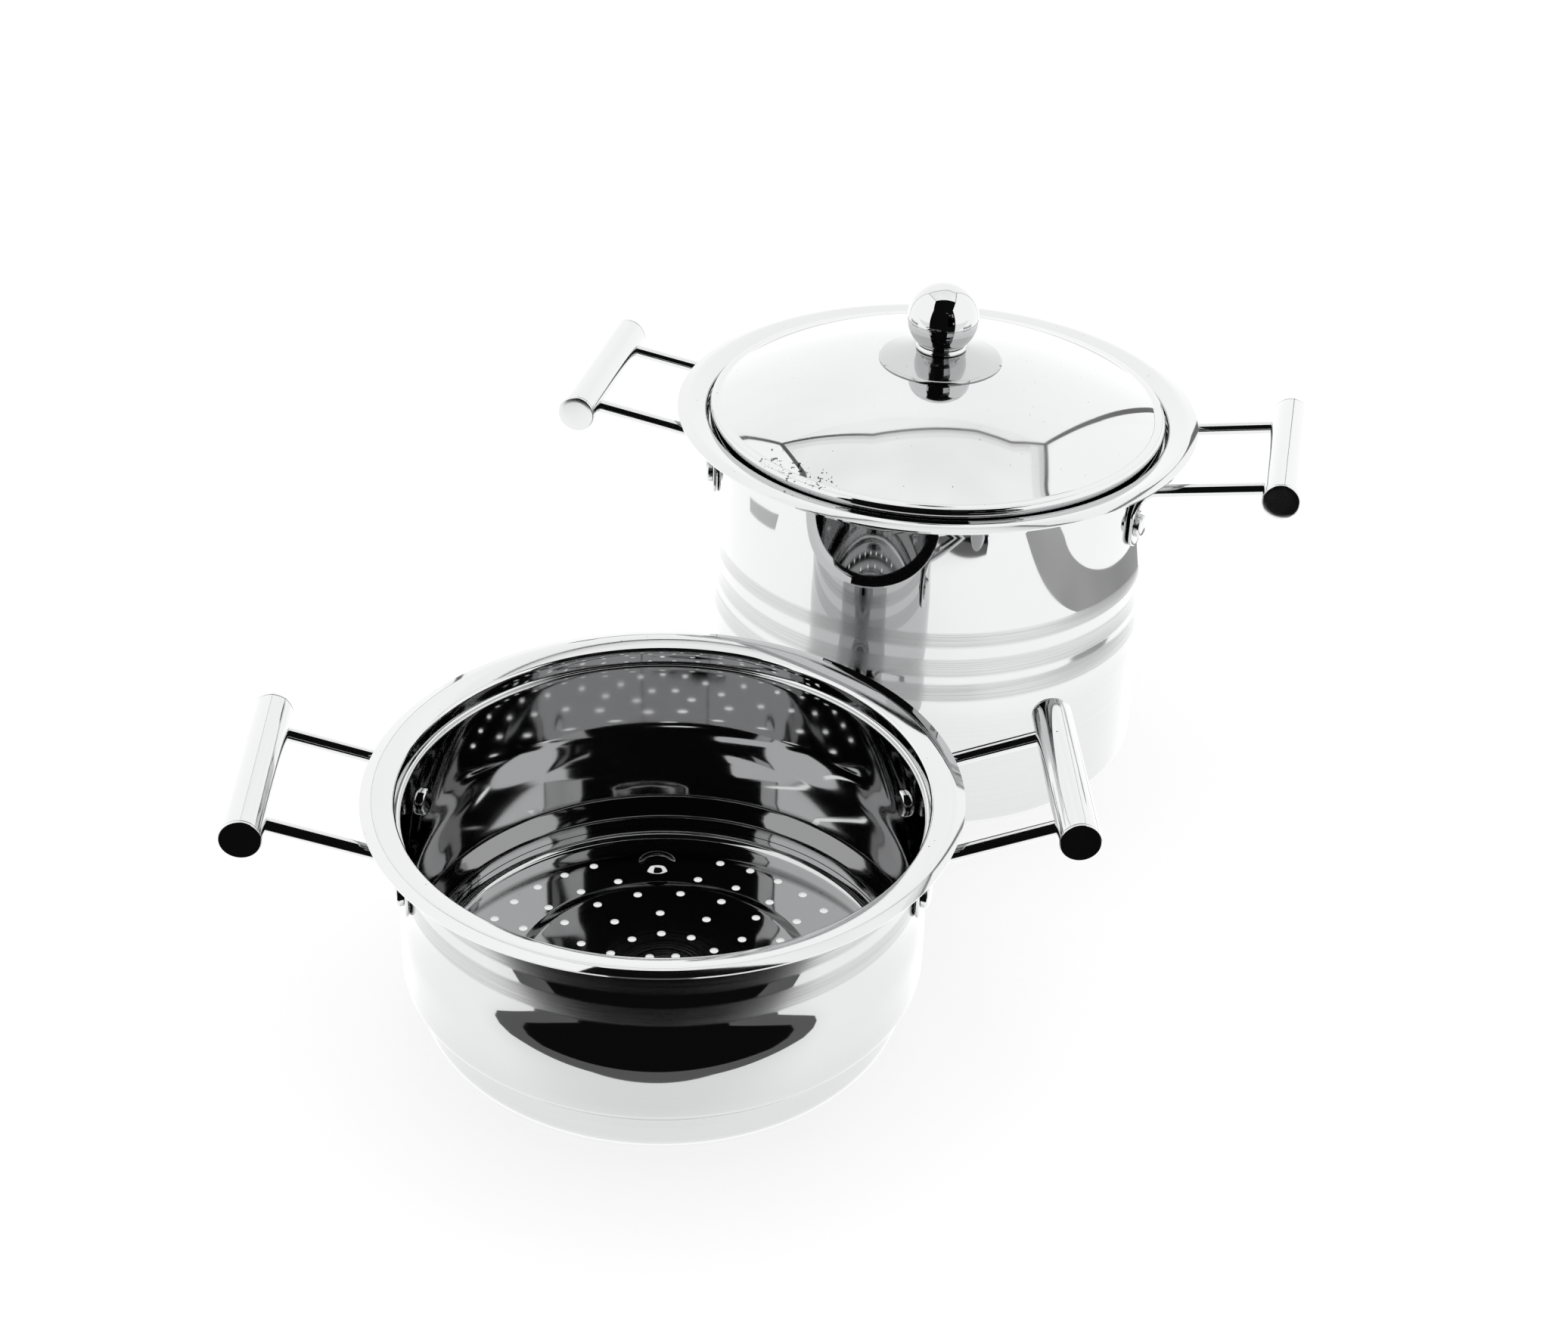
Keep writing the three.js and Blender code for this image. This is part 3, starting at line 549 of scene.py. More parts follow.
@dataclass(frozen=True)
class BandedSteel:
    """A vessel's outside: polished, with finely brushed bands that run round it.

    bands are heights from..to; everything below satin_from is brushed too, by the share lower.
    """

    name: str
    height: float
    bands: Line
    satin_from: float
    colour: Colour = (0.57, 0.572, 0.575)
    satin_tone: float = 0.74
    smooth: float = 0.024
    smooth_range: Spot = (0.7, 1.5)
    brushed: float = 0.15
    brushed_range: Spot = (0.7, 1.3)
    lower: float = 0.2
    lower_fade: float = 6.0
    edge: float = 0.8
    streak: Grain = Grain(1.0, 3.0, (10.0, 10.0, 2600.0))
    streak_limits: Spot = (0.25, 0.75)
    streak_tint: Spot = (0.45, 1.0)
    streak_depth: float = 0.0025
    patch: Grain = Grain(30.0)
    swell: Grain = Grain(16.0, 1.0)
    wave: float = 0.06
    anisotropy: float = 0.55

    def mask(self, graph: Graph, z: Socket) -> Socket:
        """How far the steel is brushed at a height.

        Args:
            graph: The material's graph.
            z: The height.

        Returns:
            0 for polished to 1 for brushed.
        """
        values = {"Value": z, "From Min": 0.0, "From Max": self.height * MM, "To Min": 0.0, "To Max": 1.0}
        share = graph.add("ShaderNodeMapRange", values).outputs["Result"]
        node = graph.add("ShaderNodeValToRGB", {"Fac": share})
        stops = [(0.0, self.lower), (self.satin_from - self.lower_fade, self.lower),
                 (self.satin_from + self.lower_fade, 0.0)]
        for low, high in sorted(self.bands):
            stops += [(low - self.edge, 0.0), (low + self.edge, 1.0), (high - self.edge, 1.0), (high + self.edge, 0.0)]
        points = node.color_ramp.elements
        while len(points) > 1:
            points.remove(points[-1])
        for i, (level, value) in enumerate(stops):
            at = min(1.0, level / self.height)
            point = points[0] if i == 0 else points.new(at)
            point.position = at
            point.color = (value, value, value, 1.0)
        return node.outputs["Color"]

    def material(self) -> Material:
        """The finish as a material; it uses the piece's wrap UV map."""
        graph, material = Graph.of_material(self.name)
        at = graph.here()
        satin = self.mask(graph, graph.height(at))
        streak = graph.noise(at, self.streak)
        polish = graph.ramp(graph.noise(at, self.patch), *MIDDLE, *(self.smooth * f for f in self.smooth_range))
        brush = graph.ramp(streak, *self.streak_limits, *(self.brushed * f for f in self.brushed_range))
        rough = graph.calc("ADD", polish, graph.calc("MULTIPLY", satin, brush))
        tint = graph.calc("MULTIPLY", satin, graph.ramp(streak, *MIDDLE, *self.streak_tint))
        lines = graph.calc("MULTIPLY", graph.calc("MULTIPLY", streak, satin), self.streak_depth)
        swell = graph.calc("MULTIPLY", graph.noise(at, self.swell), self.wave)
        tangent = graph.add("ShaderNodeTangent", direction_type="UV_MAP", uv_map="wrap").outputs["Tangent"]
        graph.steel(graph.tone(tint, self.colour, self.colour, self.satin_tone), rough,
                    graph.calc("ADD", lines, swell), {"Anisotropic": self.anisotropy, "Tangent": tangent})
        return material


@dataclass(frozen=True)
class PlainSteel:
    """Unpolished steel of a fastener, with a grey grain."""

    name: str
    colour: Colour = (0.62, 0.625, 0.63)
    dark: float = 0.72
    roughness: float = 0.34
    rough_range: Spot = (0.8, 1.3)
    grain: Grain = Grain(700.0, 4.0)
    grain_limits: Spot = (0.35, 0.7)
    relief: float = 0.02
    strength: float = 0.15

    def material(self) -> Material:
        """The finish as a material."""
        graph, material = Graph.of_material(self.name)
        grain = graph.noise(graph.here(), self.grain)
        share = graph.ramp(grain, *self.grain_limits, 0.0, 1.0)
        rough = graph.ramp(grain, *MIDDLE, *(self.roughness * f for f in self.rough_range))
        graph.steel(graph.tone(share, self.colour, self.colour, self.dark), rough, grain,
                    strength=self.strength, distance=self.relief * MM)
        return material


@dataclass(frozen=True)
class Rim:
    """The rim that both vessels have: a ledge, a riser and a sloping flange whose edge turns down."""

    mouth: float = 126.8
    radius: float = 143.0
    slope: float = math.radians(14.0)
    roll: float = 3.0
    lip_depth: float = 5.5
    mouth_round: float = 2.0
    ledge_depth: float = 11.5
    ledge_round: float = 1.5
    ledge_share: float = 0.45
    edge_start: float = 137.5
    edge_fall: float = math.radians(15.5)
    edge_round: float = 7.0
    polish_margin: float = 1.5
    wall_spot: float = 45.0
    sheet: float = 1.0

    def flange(self, crest: float, radius: float) -> float:
        """Height of the flange's top.

        Args:
            crest: Height of the rim's highest line.
            radius: Where on the flange.

        Returns:
            The height there.
        """
        start = self.radius - self.roll * (1.0 + math.sin(self.slope))
        return crest - self.roll * (1.0 - math.cos(self.slope)) + math.tan(self.slope) * (radius - start)

    def corners(self, crest: float, neck: float) -> list[Corner]:
        """The inside and top of the rim, from the ledge to its edge.

        Args:
            crest: Height of the rim's highest line.
            neck: Outer radius of the neck below it.

        Returns:
            The profile's corners.
        """
        ledge = min(self.ledge_round, self.ledge_share * (self.mouth - neck + self.sheet))
        turn = self.flange(crest, self.edge_start)
        return [
            Corner(neck - self.sheet, crest - self.ledge_depth, ledge),
            Corner(self.mouth, crest - self.ledge_depth, ledge),
            Corner(self.mouth, self.flange(crest, self.mouth), self.mouth_round),
            Corner(self.edge_start, turn, self.edge_round),
            Corner(self.radius, turn - math.tan(self.edge_fall) * (self.radius - self.edge_start)),
        ]

    def finish(self, shell: Bench, crest: float, wall: float) -> None:
        """Gives a vessel's sheet its thickness, the rim's own material and the UV map.

        Args:
            shell: The bench with the sheet.
            crest: Height of the rim's highest line.
            wall: Inner radius of the belly.
        """
        shell.thicken(self.sheet, OUTSIDE, wall, self.wall_spot, Vector((-1.0, 0.0, 0.0)))
        for face in shell.bm.faces:
            middle = face.calc_center_median()
            if middle.z > crest - self.ledge_depth and middle.xy.length > self.mouth - self.polish_margin:
                face.material_index = RIM
        shell.wrap()


@dataclass
class Handle:
    """A bar handle: a capped tube on two rods that are beaten flat and riveted to the wall."""

    name: str
    body: Body
    place: Place
    side: Side
    crest: float
    wall: float
    rod_drop: float
    slope: float
    steel: Material
    rim: Rim = field(default_factory=Rim)
    finger_room: float = 38.0
    grip_length: float = 105.2
    grip_radius: float = 10.0
    grip_wall: float = 1.2
    grip_round: float = 0.35
    grip_sides: int = 48
    cap: float = 1.6
    cap_gap: float = 0.12
    cap_round: float = 0.7
    cap_edge: float = 0.2
    plug: float = 5.0
    rod: float = 3.5
    rod_start: float = 1.0
    rod_shares: tuple[float, ...] = (0.0, 0.25, 0.5, 0.75, 0.97)
    rod_sides: int = 24
    spread: float = 37.5
    bend: float = 10.0
    bend_steps: int = 10
    bend_beaten: float = 0.62
    blend: float = 5.0
    blend_steps: int = 4
    spade_width: float = 15.0
    spade: float = 2.6
    spade_square: float = 0.45
    tip_turn: float = math.radians(84.0)
    tip_steps: int = 8
    land: float = 6.2
    gap: float = 0.3
    head: float = 6.3
    head_height: float = 3.6
    head_crown: float = 0.5
    head_round: float = 1.6
    tail: float = 7.0
    tail_height: float = 2.4
    tail_round: float = 1.7
    tail_gap: float = 0.05
    shank: float = 3.0
    rivet_sides: int = 36

    def __post_init__(self) -> None:
        """Works out where the rods, rivets and grip sit."""
        spade_radius = self.wall + self.gap + self.spade / 2
        self.angle = math.asin(self.spread / spade_radius)
        self.reach = self.rim.radius + self.finger_room + self.grip_radius
        lip = self.crest - self.rim.lip_depth - self.rod_drop - self.rod / math.cos(self.slope)
        self.bend_x = spade_radius * math.cos(self.angle) + self.bend * (1.0 - math.sin(self.slope))
        self.bend_top = lip - (self.rim.radius - self.bend_x) * math.tan(self.slope)
        self.bend_foot = self.bend_top - self.bend * math.cos(self.slope)
        self.rivet_z = self.bend_foot - self.blend - self.head - self.gap
        self.tip = self.rivet_z - self.head - self.land
        self.grip_z = lip + (self.reach - self.rim.radius) * math.tan(self.slope)
        self.matrix = self.place.matrix() @ Matrix.Rotation(self.side.value, 4, "Z")

    def end(self, way: int) -> str:
        """The name of one end of the handle, as seen from the front of the vessel."""
        return "back" if way * math.cos(self.side.value) > 0 else "front"

    def wall_x(self, depth: float) -> float:
        """How far out a rod lies on the wall, by half its thickness."""
        return (self.wall + self.gap + depth) * math.cos(self.angle)

    def beaten(self, share: float) -> tuple[float, float, float]:
        """A rod's section on its way from round to flat.

        Args:
            share: How far it is beaten, from 0 to 1.

        Returns:
            Half its width, half its thickness and how square it is.
        """
        ease = share * share * (3.0 - 2.0 * share)
        half = self.rod + (self.spade_width / 2 - self.rod) * ease
        return half, self.rod + (self.spade / 2 - self.rod) * ease, ease

    def rod_ring(self, x: float, z: float, lean: float, section: tuple[float, float, float],
                 twist: float, way: int) -> list[Vector]:
        """One cross-section of a rod.

        Args:
            x: Its centre, outwards.
            z: Its centre's height.
            lean: The rod's lean from level, in radians.
            section: Half its width, half its thickness, and 0 for an ellipse up to 1 for a rounded bar.
            twist: How far its flat is turned to face the wall.
            way: Which rod, by the sign of its side.

        Returns:
            The ring's points.
        """
        half, depth, square = section
        along = way * twist
        across = Vector((-math.sin(along), math.cos(along), 0.0))
        thick = Vector((math.cos(along) * math.sin(lean), math.sin(along) * math.sin(lean), -math.cos(lean)))
        centre = Vector((x, way * self.spread, z))
        power = 1.0 - self.spade_square * square
        ring = []
        for j in range(self.rod_sides):
            angle = (j + 0.5) / self.rod_sides * math.tau
            c, s = math.cos(angle), math.sin(angle)
            ring.append(centre + across * half * math.copysign(abs(c) ** power, c)
                        + thick * depth * math.copysign(abs(s) ** power, s))
        return ring

    def rod_rings(self, way: int) -> list[list[Vector]]:
        """All cross-sections of a rod, from inside the grip to the spade's tip.

        Args:
            way: Which rod, by the sign of its side.

        Returns:
            The rings, in order.
        """
        flat, wide, upright = self.spade / 2, self.spade_width / 2, math.pi / 2
        rings = []
        inner = self.reach - self.rod_start
        for share in self.rod_shares:
            x = inner + (self.bend_x - inner) * share
            z = self.grip_z - (self.reach - x) * math.tan(self.slope)
            rings.append(self.rod_ring(x, z, self.slope, (self.rod, self.rod, 0.0), 0.0, way))
        for k in range(self.bend_steps + 1):
            share = k / self.bend_steps
            lean = self.slope + (upright - self.slope) * share
            section = self.beaten(self.bend_beaten * share)
            shift = (self.wall_x(section[1]) - self.wall_x(flat)) * share
            x = self.bend_x - self.bend * (math.sin(lean) - math.sin(self.slope)) + shift
            z = self.bend_top - self.bend * (math.cos(self.slope) - math.cos(lean))
            rings.append(self.rod_ring(x, z, lean, section, self.angle * share, way))
        for k in range(1, self.blend_steps + 1):
            share = k / self.blend_steps
            section = self.beaten(self.bend_beaten + (1.0 - self.bend_beaten) * share)
            z = self.bend_foot - self.blend * share
            rings.append(self.rod_ring(self.wall_x(section[1]), z, upright, section, self.angle, way))
        for k in range(self.tip_steps + 1):
            turn = self.tip_turn * k / self.tip_steps
            section = (wide * math.cos(turn), flat, 1.0)
            z = self.tip + wide * (1.0 - math.sin(turn))
            rings.append(self.rod_ring(self.wall_x(flat), z, upright, section, self.angle, way))
        return rings

    def build(self) -> None:
        """Makes the handle's seven pieces and dresses them."""
        half = self.grip_length / 2
        inside = self.grip_radius - self.grip_wall
        grip = Bench()
        grip.wire([Corner(inside, -half), Corner(self.grip_radius, -half, self.grip_round),
                   Corner(self.grip_radius, half, self.grip_round), Corner(inside, half)], reach=6.0, closed=True)
        grip.revolve(self.grip_sides)
        self.lay(grip, math.pi / 2)
        self.off(grip, "grip")
        for way in (-1, 1):
            end = self.end(way)
            self.off(self.make_cap(way), f"cap_{end}")
            rod = Bench()
            rod.loft(self.rod_rings(way))
            self.off(rod, f"rod_{end}")
            self.off(self.make_rivet(way), f"rivet_{end}")

    def lay(self, bench: Bench, turn: float) -> None:
        """Lays a piece that was turned upright along the grip's axis."""
        bench.move(Matrix.Translation((self.reach, 0.0, self.grip_z)) @ Matrix.Rotation(turn, 4, "X"))

    def make_cap(self, way: int) -> Bench:
        """Makes the cap on one end of the grip.

        Args:
            way: The sign of that end's side.

        Returns:
            The bench with the cap.
        """
        face = self.grip_length / 2 + self.cap_gap
        plug = self.grip_radius - self.grip_wall - self.gap
        cap = Bench()
        cap.wire([Corner(0.0, face - self.plug), Corner(plug, face - self.plug), Corner(plug, face),
                  Corner(self.grip_radius, face, self.cap_edge),
                  Corner(self.grip_radius, face + self.cap, self.cap_round), Corner(0.0, face + self.cap)], reach=3.0)
        cap.revolve(self.grip_sides)
        self.lay(cap, -way * math.pi / 2)
        return cap

    def make_rivet(self, way: int) -> Bench:
        """Makes the rivet of one rod.

        Args:
            way: The sign of the rod's side.

        Returns:
            The bench with the rivet.
        """
        outer = self.wall + self.gap + self.spade
        inner = math.sqrt((self.wall - self.rim.sheet) ** 2 - self.tail ** 2) - self.tail_gap
        tail, head = inner - self.tail_height, outer + self.head_height
        rivet = Bench()
        rivet.wire([Corner(0.0, tail), Corner(self.tail, tail, self.tail_round),
                    Corner(self.tail, inner), Corner(self.shank, inner), Corner(self.shank, outer),
                    Corner(self.head, outer), Corner(self.head, head - self.head_crown, self.head_round),
                    Corner(0.0, head)], reach=2.0)
        rivet.revolve(self.rivet_sides)
        rivet.move(Matrix.Rotation(way * self.angle, 4, "Z") @ Matrix.Translation((0.0, 0.0, self.rivet_z))
                   @ Matrix.Rotation(math.pi / 2, 4, "Y"))
        return rivet

    def off(self, bench: Bench, part: str) -> None:
        """Turns a finished piece to the handle's place and takes it off the bench.

        Args:
            bench: The bench with the piece.
            part: The piece's name within the handle.
        """
        bench.move(self.matrix)
        node = f"{self.name}_{part}"
        bench.piece(f"{node}_steel", self.body, Slot.MIRROR, node, [self.steel])


@dataclass
class Vessel:
    """What both vessels have: a belly, a neck, the rim, brushed bands and two handles."""

    body: Body
    height: float
    neck: float
    belly: float
    belly_top: float
    neck_foot: float
    bands: Line
    satin_from: float
    rod_drop: float
    rod_slope: float
    place: Place = Place()
    rim: Rim = field(default_factory=Rim)
    belly_round: float = 60.0
    steps: int = 192

    def make_shell(self, lower: Sequence[Corner], inside: TurnedSteel, outside: BandedSteel) -> None:
        """Makes the shell and dresses it.

        Args:
            lower: The inside of the profile, up to the belly.
            inside: The finish of its inside.
            outside: The finish of its outside.
        """
        name, sheet = self.body.value, self.rim.sheet
        shell = Bench()
        shell.wire([*lower, Corner(self.belly - sheet, self.belly_top, self.belly_round),
                    Corner(self.neck - sheet, self.neck_foot, self.belly_round),
                    *self.rim.corners(self.height, self.neck)])
        shell.revolve(self.steps)
        self.rim.finish(shell, self.height, self.belly - sheet)
        shell.move(self.place.matrix())
        finishes = (inside, outside, MirrorSteel(f"{name}_rim"))
        shell.piece(f"{name}_shell", self.body, Slot.SATIN, f"{name}_body", [f.material() for f in finishes])

    def handles(self, steel: Material) -> None:
        """Makes the vessel's two handles.

        Args:
            steel: Their finish.
        """
        for side in Side:
            Handle(f"{self.body.value}_{side.name.lower()}", self.body, self.place, side,
                   self.height, self.neck, self.rod_drop, self.rod_slope, steel).build()


@dataclass
class Pot(Vessel):
    """The pot: a drawn shell with a flat base, a soft belly and a straight neck."""

    body: Body = Body.POT
    height: float = 196.3
    neck: float = 121.2
    belly: float = 123.9
    belly_top: float = 70.0
    neck_foot: float = 97.0
    bands: Line = ((80.4, 90.7), (95.0, 105.6), (112.8, 121.8))
    satin_from: float = 72.0
    rod_drop: float = 4.8
    rod_slope: float = math.radians(9.5)
    base_round: float = 4.0

    def build(self) -> None:
        """Makes the pot's shell."""
        sheet = self.rim.sheet
        lower = [Corner(0.0, sheet), Corner(self.belly - sheet, sheet, self.base_round - sheet)]
        outside = BandedSteel("pot_outside", self.height, self.bands, self.satin_from)
        self.make_shell(lower, TurnedSteel("pot_inside"), outside)


@dataclass
class Steamer(Vessel):
    """The steamer: a shell with a shoulder and a skirt, and a perforated floor set into it.

    rings are the holes' counts and phases; dimple_shape is shares of its radius and rise, and a bend.
    """

    body: Body = Body.STEAMER
    height: float = 124.2
    neck: float = 125.2
    belly: float = 127.5
    belly_top: float = 57.05
    neck_foot: float = 74.05
    bands: Line = ((80.3, 91.1), (97.9, 106.4))
    satin_from: float = 40.0
    rod_drop: float = 1.3
    rod_slope: float = math.radians(18.0)
    place: Place = Place(-77.808, -292.425, 14.4)
    # The steamer's outside is the pot's steel, darker: painted shade for the greyer reflection on its belly.
    outside: Colour = (0.53, 0.532, 0.535)
    lower: float = 0.16
    # How far the painted shade over the shoulder reaches past it, above and below.
    shade_margin: float = 2.0
    skirt: float = 119.8
    skirt_round: float = 10.0
    skirt_height: float = 21.0
    foot_turn: float = math.radians(18.0)
    foot_spare: float = 0.05
    shoulder: float = 8.0
    shoulder_round: float = 3.0
    gap: float = 0.3
    floor_top: float = 8.5
    floor_rise: float = 2.5
    floor_edge: float = 6.0
    floor_round: float = 4.0
    floor_land: float = 1.0
    step_inset: float = 41.0
    step_width: float = 8.0
    step_round: float = 5.0
    step_land: float = 2.0
    hole: float = 2.2
    hole_steps: int = 16
    hole_edge: float = 20.7
    ring_pitch: float = 16.95
    rings: tuple[tuple[int, float], ...] = ((36, 0.0), (24, 0.0), (18, 0.5), (12, 0.0), (12, 0.0), (6, 0.5))
    outer_rings: int = 2
    pattern: float = math.radians(92.5)
    dimple: float = 10.5
    dimple_inset: float = 4.0
    dimple_land: float = 1.2
    dimple_foot: float = 0.4
    dimple_round: float = 2.2
    dimple_rise: float = 3.0
    dimple_shape: Points = ((0.55, 0.7, 9.0), (0.24, 0.96, 7.0))
    dimple_margin: float = 8.0
    dimple_steps: int = 48

    def build(self) -> None:
        """Makes the shell, from its turned-in foot to the lip, and the floor."""
        sheet = self.rim.sheet
        skirt, bend = self.skirt - sheet, self.skirt_round - sheet
        run = bend * math.tan((math.pi / 2 - self.foot_turn) / 2)
        corner = Vector((skirt, self.skirt_round - run))
        foot = corner - Vector((math.cos(self.foot_turn), math.sin(self.foot_turn))) * (run + self.foot_spare)
        lower = [Corner(foot.x, foot.y), Corner(corner.x, corner.y, bend),
                 Corner(skirt, self.skirt_height, self.shoulder_round),
                 Corner(self.belly - sheet, self.skirt_height + self.shoulder, self.shoulder_round)]
        # The darker outside colour is painted shade.
        outside = BandedSteel("steamer_outside", self.height, self.bands, self.satin_from,
                              colour=self.outside, lower=self.lower)
        self.make_shell(lower, self.inside(), outside)
        self.build_floor()

    def inside(self) -> TurnedSteel:
        """The finish of the inside, with its lathe rings round the steamer's axis and painted shade over the shoulder.
        """
        # The shoulder, with a margin each way, gets painted shade in the inside's colour.
        low, high = self.skirt_height, self.skirt_height + self.shoulder
        ring = (low - self.shade_margin, high + self.shade_margin)
        return TurnedSteel("steamer_inside", (self.place.x, self.place.y), ring=ring)

    def spot(self, inset: float, angle: float) -> Spot:
        """A place on the floor.

        Args:
            inset: Distance inside the outermost ring of holes.
            angle: Angle from the pattern's start, in radians.

        Returns:
            X and Y on the unturned floor.
        """
        radius = self.skirt - self.rim.sheet - self.gap - self.hole_edge - inset
        return radius * math.cos(self.pattern + angle), radius * math.sin(self.pattern + angle)

    def holes(self) -> list[tuple[int, float, float]]:
        """The steam holes: ring number and centre of each, clear of the dimple."""
        dimple = Vector(self.spot(self.dimple_inset, 0.0))
        clear = self.dimple + self.dimple_margin + self.hole
        found = []
        for ring, (count, phase) in enumerate(self.rings):
            for k in range(count):
                x, y = self.spot(ring * self.ring_pitch, (k + phase) / count * math.tau)
                if (Vector((x, y)) - dimple).length > clear:
                    found.append((ring, x, y))
        return found

    def build_floor(self) -> None:
        """Makes the floor: flat fields with holes, a pressed step, a dimple and a turned-up edge."""
        edge = self.skirt - self.rim.sheet - self.gap - self.rim.sheet
        outer_step = edge + self.rim.sheet - self.step_inset
        inner_step = outer_step - self.step_width
        top, middle = self.floor_top, self.floor_top + self.floor_rise
        rim_start, step_end = edge - self.floor_round - self.floor_land, outer_step + self.floor_land
        step_start = inner_step - self.step_land
        floor = Bench()
        for corners in (
            [Corner(rim_start, top), Corner(edge, top, self.floor_round), Corner(edge, top + self.floor_edge)],
            [Corner(step_start, middle), Corner(inner_step, middle, self.step_round),
             Corner(outer_step, top, self.step_round), Corner(step_end, top)],
        ):
            ring = Bench()
            ring.wire(corners, reach=2.0)
            ring.revolve(self.steps)
            floor.take(ring)
        x, y = self.spot(self.dimple_inset, 0.0)
        size, rise = self.dimple, self.dimple_rise
        bump = Bench()
        bump.wire([Corner(size + self.dimple_land, top), Corner(size - self.dimple_foot, top, self.dimple_round),
                   *(Corner(size * r, top + rise * z, bend) for r, z, bend in self.dimple_shape),
                   Corner(0.0, top + rise)], reach=1.0)
        bump.revolve(self.dimple_steps)
        bump.move(Matrix.Translation((x, y, 0.0)))
        floor.take(bump)

        outer = floor.circle(self.steps, rim_start, (0.0, 0.0, top))[1]
        outer += floor.circle(self.steps, step_end, (0.0, 0.0, top))[1]
        outer += floor.circle(self.dimple_steps, size + self.dimple_land, (x, y, top))[1]
        inner = floor.circle(self.steps, step_start, (0.0, 0.0, middle))[1]
        for ring, x, y in self.holes():
            edges, z = (outer, top) if ring < self.outer_rings else (inner, middle)
            edges += floor.circle(self.hole_steps, self.hole, (x, y, z))[1]
        floor.fill(outer)
        floor.fill(inner)
        floor.weld()
        floor.thicken(self.rim.sheet, INSIDE, 0.0, middle)
        floor.move(self.place.matrix())
        floor.piece("steamer_sieve", Body.STEAMER, Slot.MIRROR, "steamer_floor", [self.inside().material()])


@dataclass
class Lid:
    """The domed lid with its flat shoulder and skirt, and the knob on it in its own steel.

    disc_lip and collar_side are corners, from the disc's edge and from the collar's foot.
    """

    steel: Material
    radius: float = 125.0
    sheet: float = 0.8
    foot: float = 185.1
    skirt: float = 12.5
    shoulder: float = 5.5
    shoulder_round: float = 2.5
    crease_round: float = 3.0
    crease_share: float = 0.98
    rise: float = 28.7
    hole: float = 2.8
    disc: float = 33.8
    disc_rise: float = 5.4
    disc_land: float = 1.0
    disc_round: float = 4.0
    disc_lip: Points = ((-1.0, 0.28, 1.2), (0.0, -0.5, 0.0))
    collar: float = 14.1
    collar_height: float = 2.6
    collar_side: Points = ((-0.5, 0.0, 0.5), (0.0, 1.3, 1.2), (-0.9, 2.1, 0.6), (-1.0, 2.6, 0.3))
    neck: float = 12.8
    ball: float = 19.4
    screw_grip: float = 11.0
    gap: float = 0.3
    steps: int = 192
    arc_steps: int = 44
    knob_steps: int = 96
    collar_steps: int = 72
    stains: Points = ((-74.0, -94.0, 199.0), (-59.0, -103.0, 199.5), (-43.0, -111.0, 199.0))

    def __post_init__(self) -> None:
        """Works out the heights, from the skirt's foot to the ball."""
        self.level = self.foot + self.skirt
        self.dome = self.radius - self.shoulder
        self.top = self.level + self.rise
        self.sphere = (self.dome ** 2 + self.rise ** 2) / (2 * self.rise)
        self.low = self.top - self.sphere
        self.disc_edge = self.low + math.sqrt(self.sphere ** 2 - self.disc ** 2) + self.gap + self.sheet
        self.disc_top = self.disc_edge + self.disc_rise
        self.collar_foot = self.disc_top + self.gap
        self.ball_foot = self.collar_foot + self.collar_height + self.gap
        self.ball_centre = self.ball_foot + math.sqrt(self.ball ** 2 - self.neck ** 2)

    def build(self) -> None:
        """Makes the lid's shell and its knob."""
        self.build_shell()
        self.build_disc()
        self.build_collar()
        self.build_ball()

    def build_shell(self) -> None:
        """Makes the dome, the shoulder and the skirt from one sheet."""
        shell = Bench()
        first, last = math.asin(self.hole / self.sphere), math.asin(self.dome / self.sphere)
        # The dome runs into the shoulder through a small bend, so it stops short of the crease.
        last -= self.crease_round * math.tan(last / 2) / self.sphere
        shell.arc(self.sphere, first, last, self.low, self.arc_steps)
        end = Corner(self.sphere * math.sin(last), self.low + self.sphere * math.cos(last))
        edge = Bench()
        edge.wire([end, Corner(self.dome, self.level, self.crease_round * self.crease_share),
                   Corner(self.radius, self.level, self.shoulder_round), Corner(self.radius, self.foot)], reach=2.0)
        shell.take(edge)
        shell.revolve(self.steps)
        shell.thicken(self.sheet, OUTSIDE, self.dome / 2, self.top)
        finishes = (MirrorSteel("lid_top", stains=self.stains), TurnedSteel("lid_underside", dull=0.22))
        shell.piece("lid_dome", Body.LID, Slot.MIRROR, "lid_shell", [f.material() for f in finishes])

    def build_disc(self) -> None:
        """Makes the thin cone under the knob."""
        disc = Bench()
        top, land = self.disc_top, self.collar + self.disc_land
        lip = [Corner(self.disc + r, self.disc_edge + z, bend) for r, z, bend in self.disc_lip]
        disc.wire([Corner(self.hole, top), Corner(land, top, self.disc_round), *lip], reach=1.6)
        disc.revolve(self.knob_steps)
        disc.thicken(self.sheet, INSIDE, self.hole, top)
        # The cone's steel is darker than the other turned steel: painted shade.
        finish = TurnedSteel("disc_steel", colour=(0.44, 0.442, 0.445), smooth=0.05, dull=0.12, fade=40.0, depth=0.003)
        disc.piece("knob_cone", Body.LID, Slot.MIRROR, "knob_disc", [finish.material()])

    def build_collar(self) -> None:
        """Makes the collar ring."""
        foot, head = self.collar_foot, self.collar_foot + self.collar_height
        side = [Corner(self.collar + r, foot + z, bend) for r, z, bend in self.collar_side]
        ring = Bench()
        ring.wire([Corner(self.hole, foot), *side, Corner(self.hole, head)], reach=1.5, closed=True)
        ring.revolve(self.collar_steps)
        ring.piece("knob_ring", Body.LID, Slot.MIRROR, "knob_collar", [self.steel])

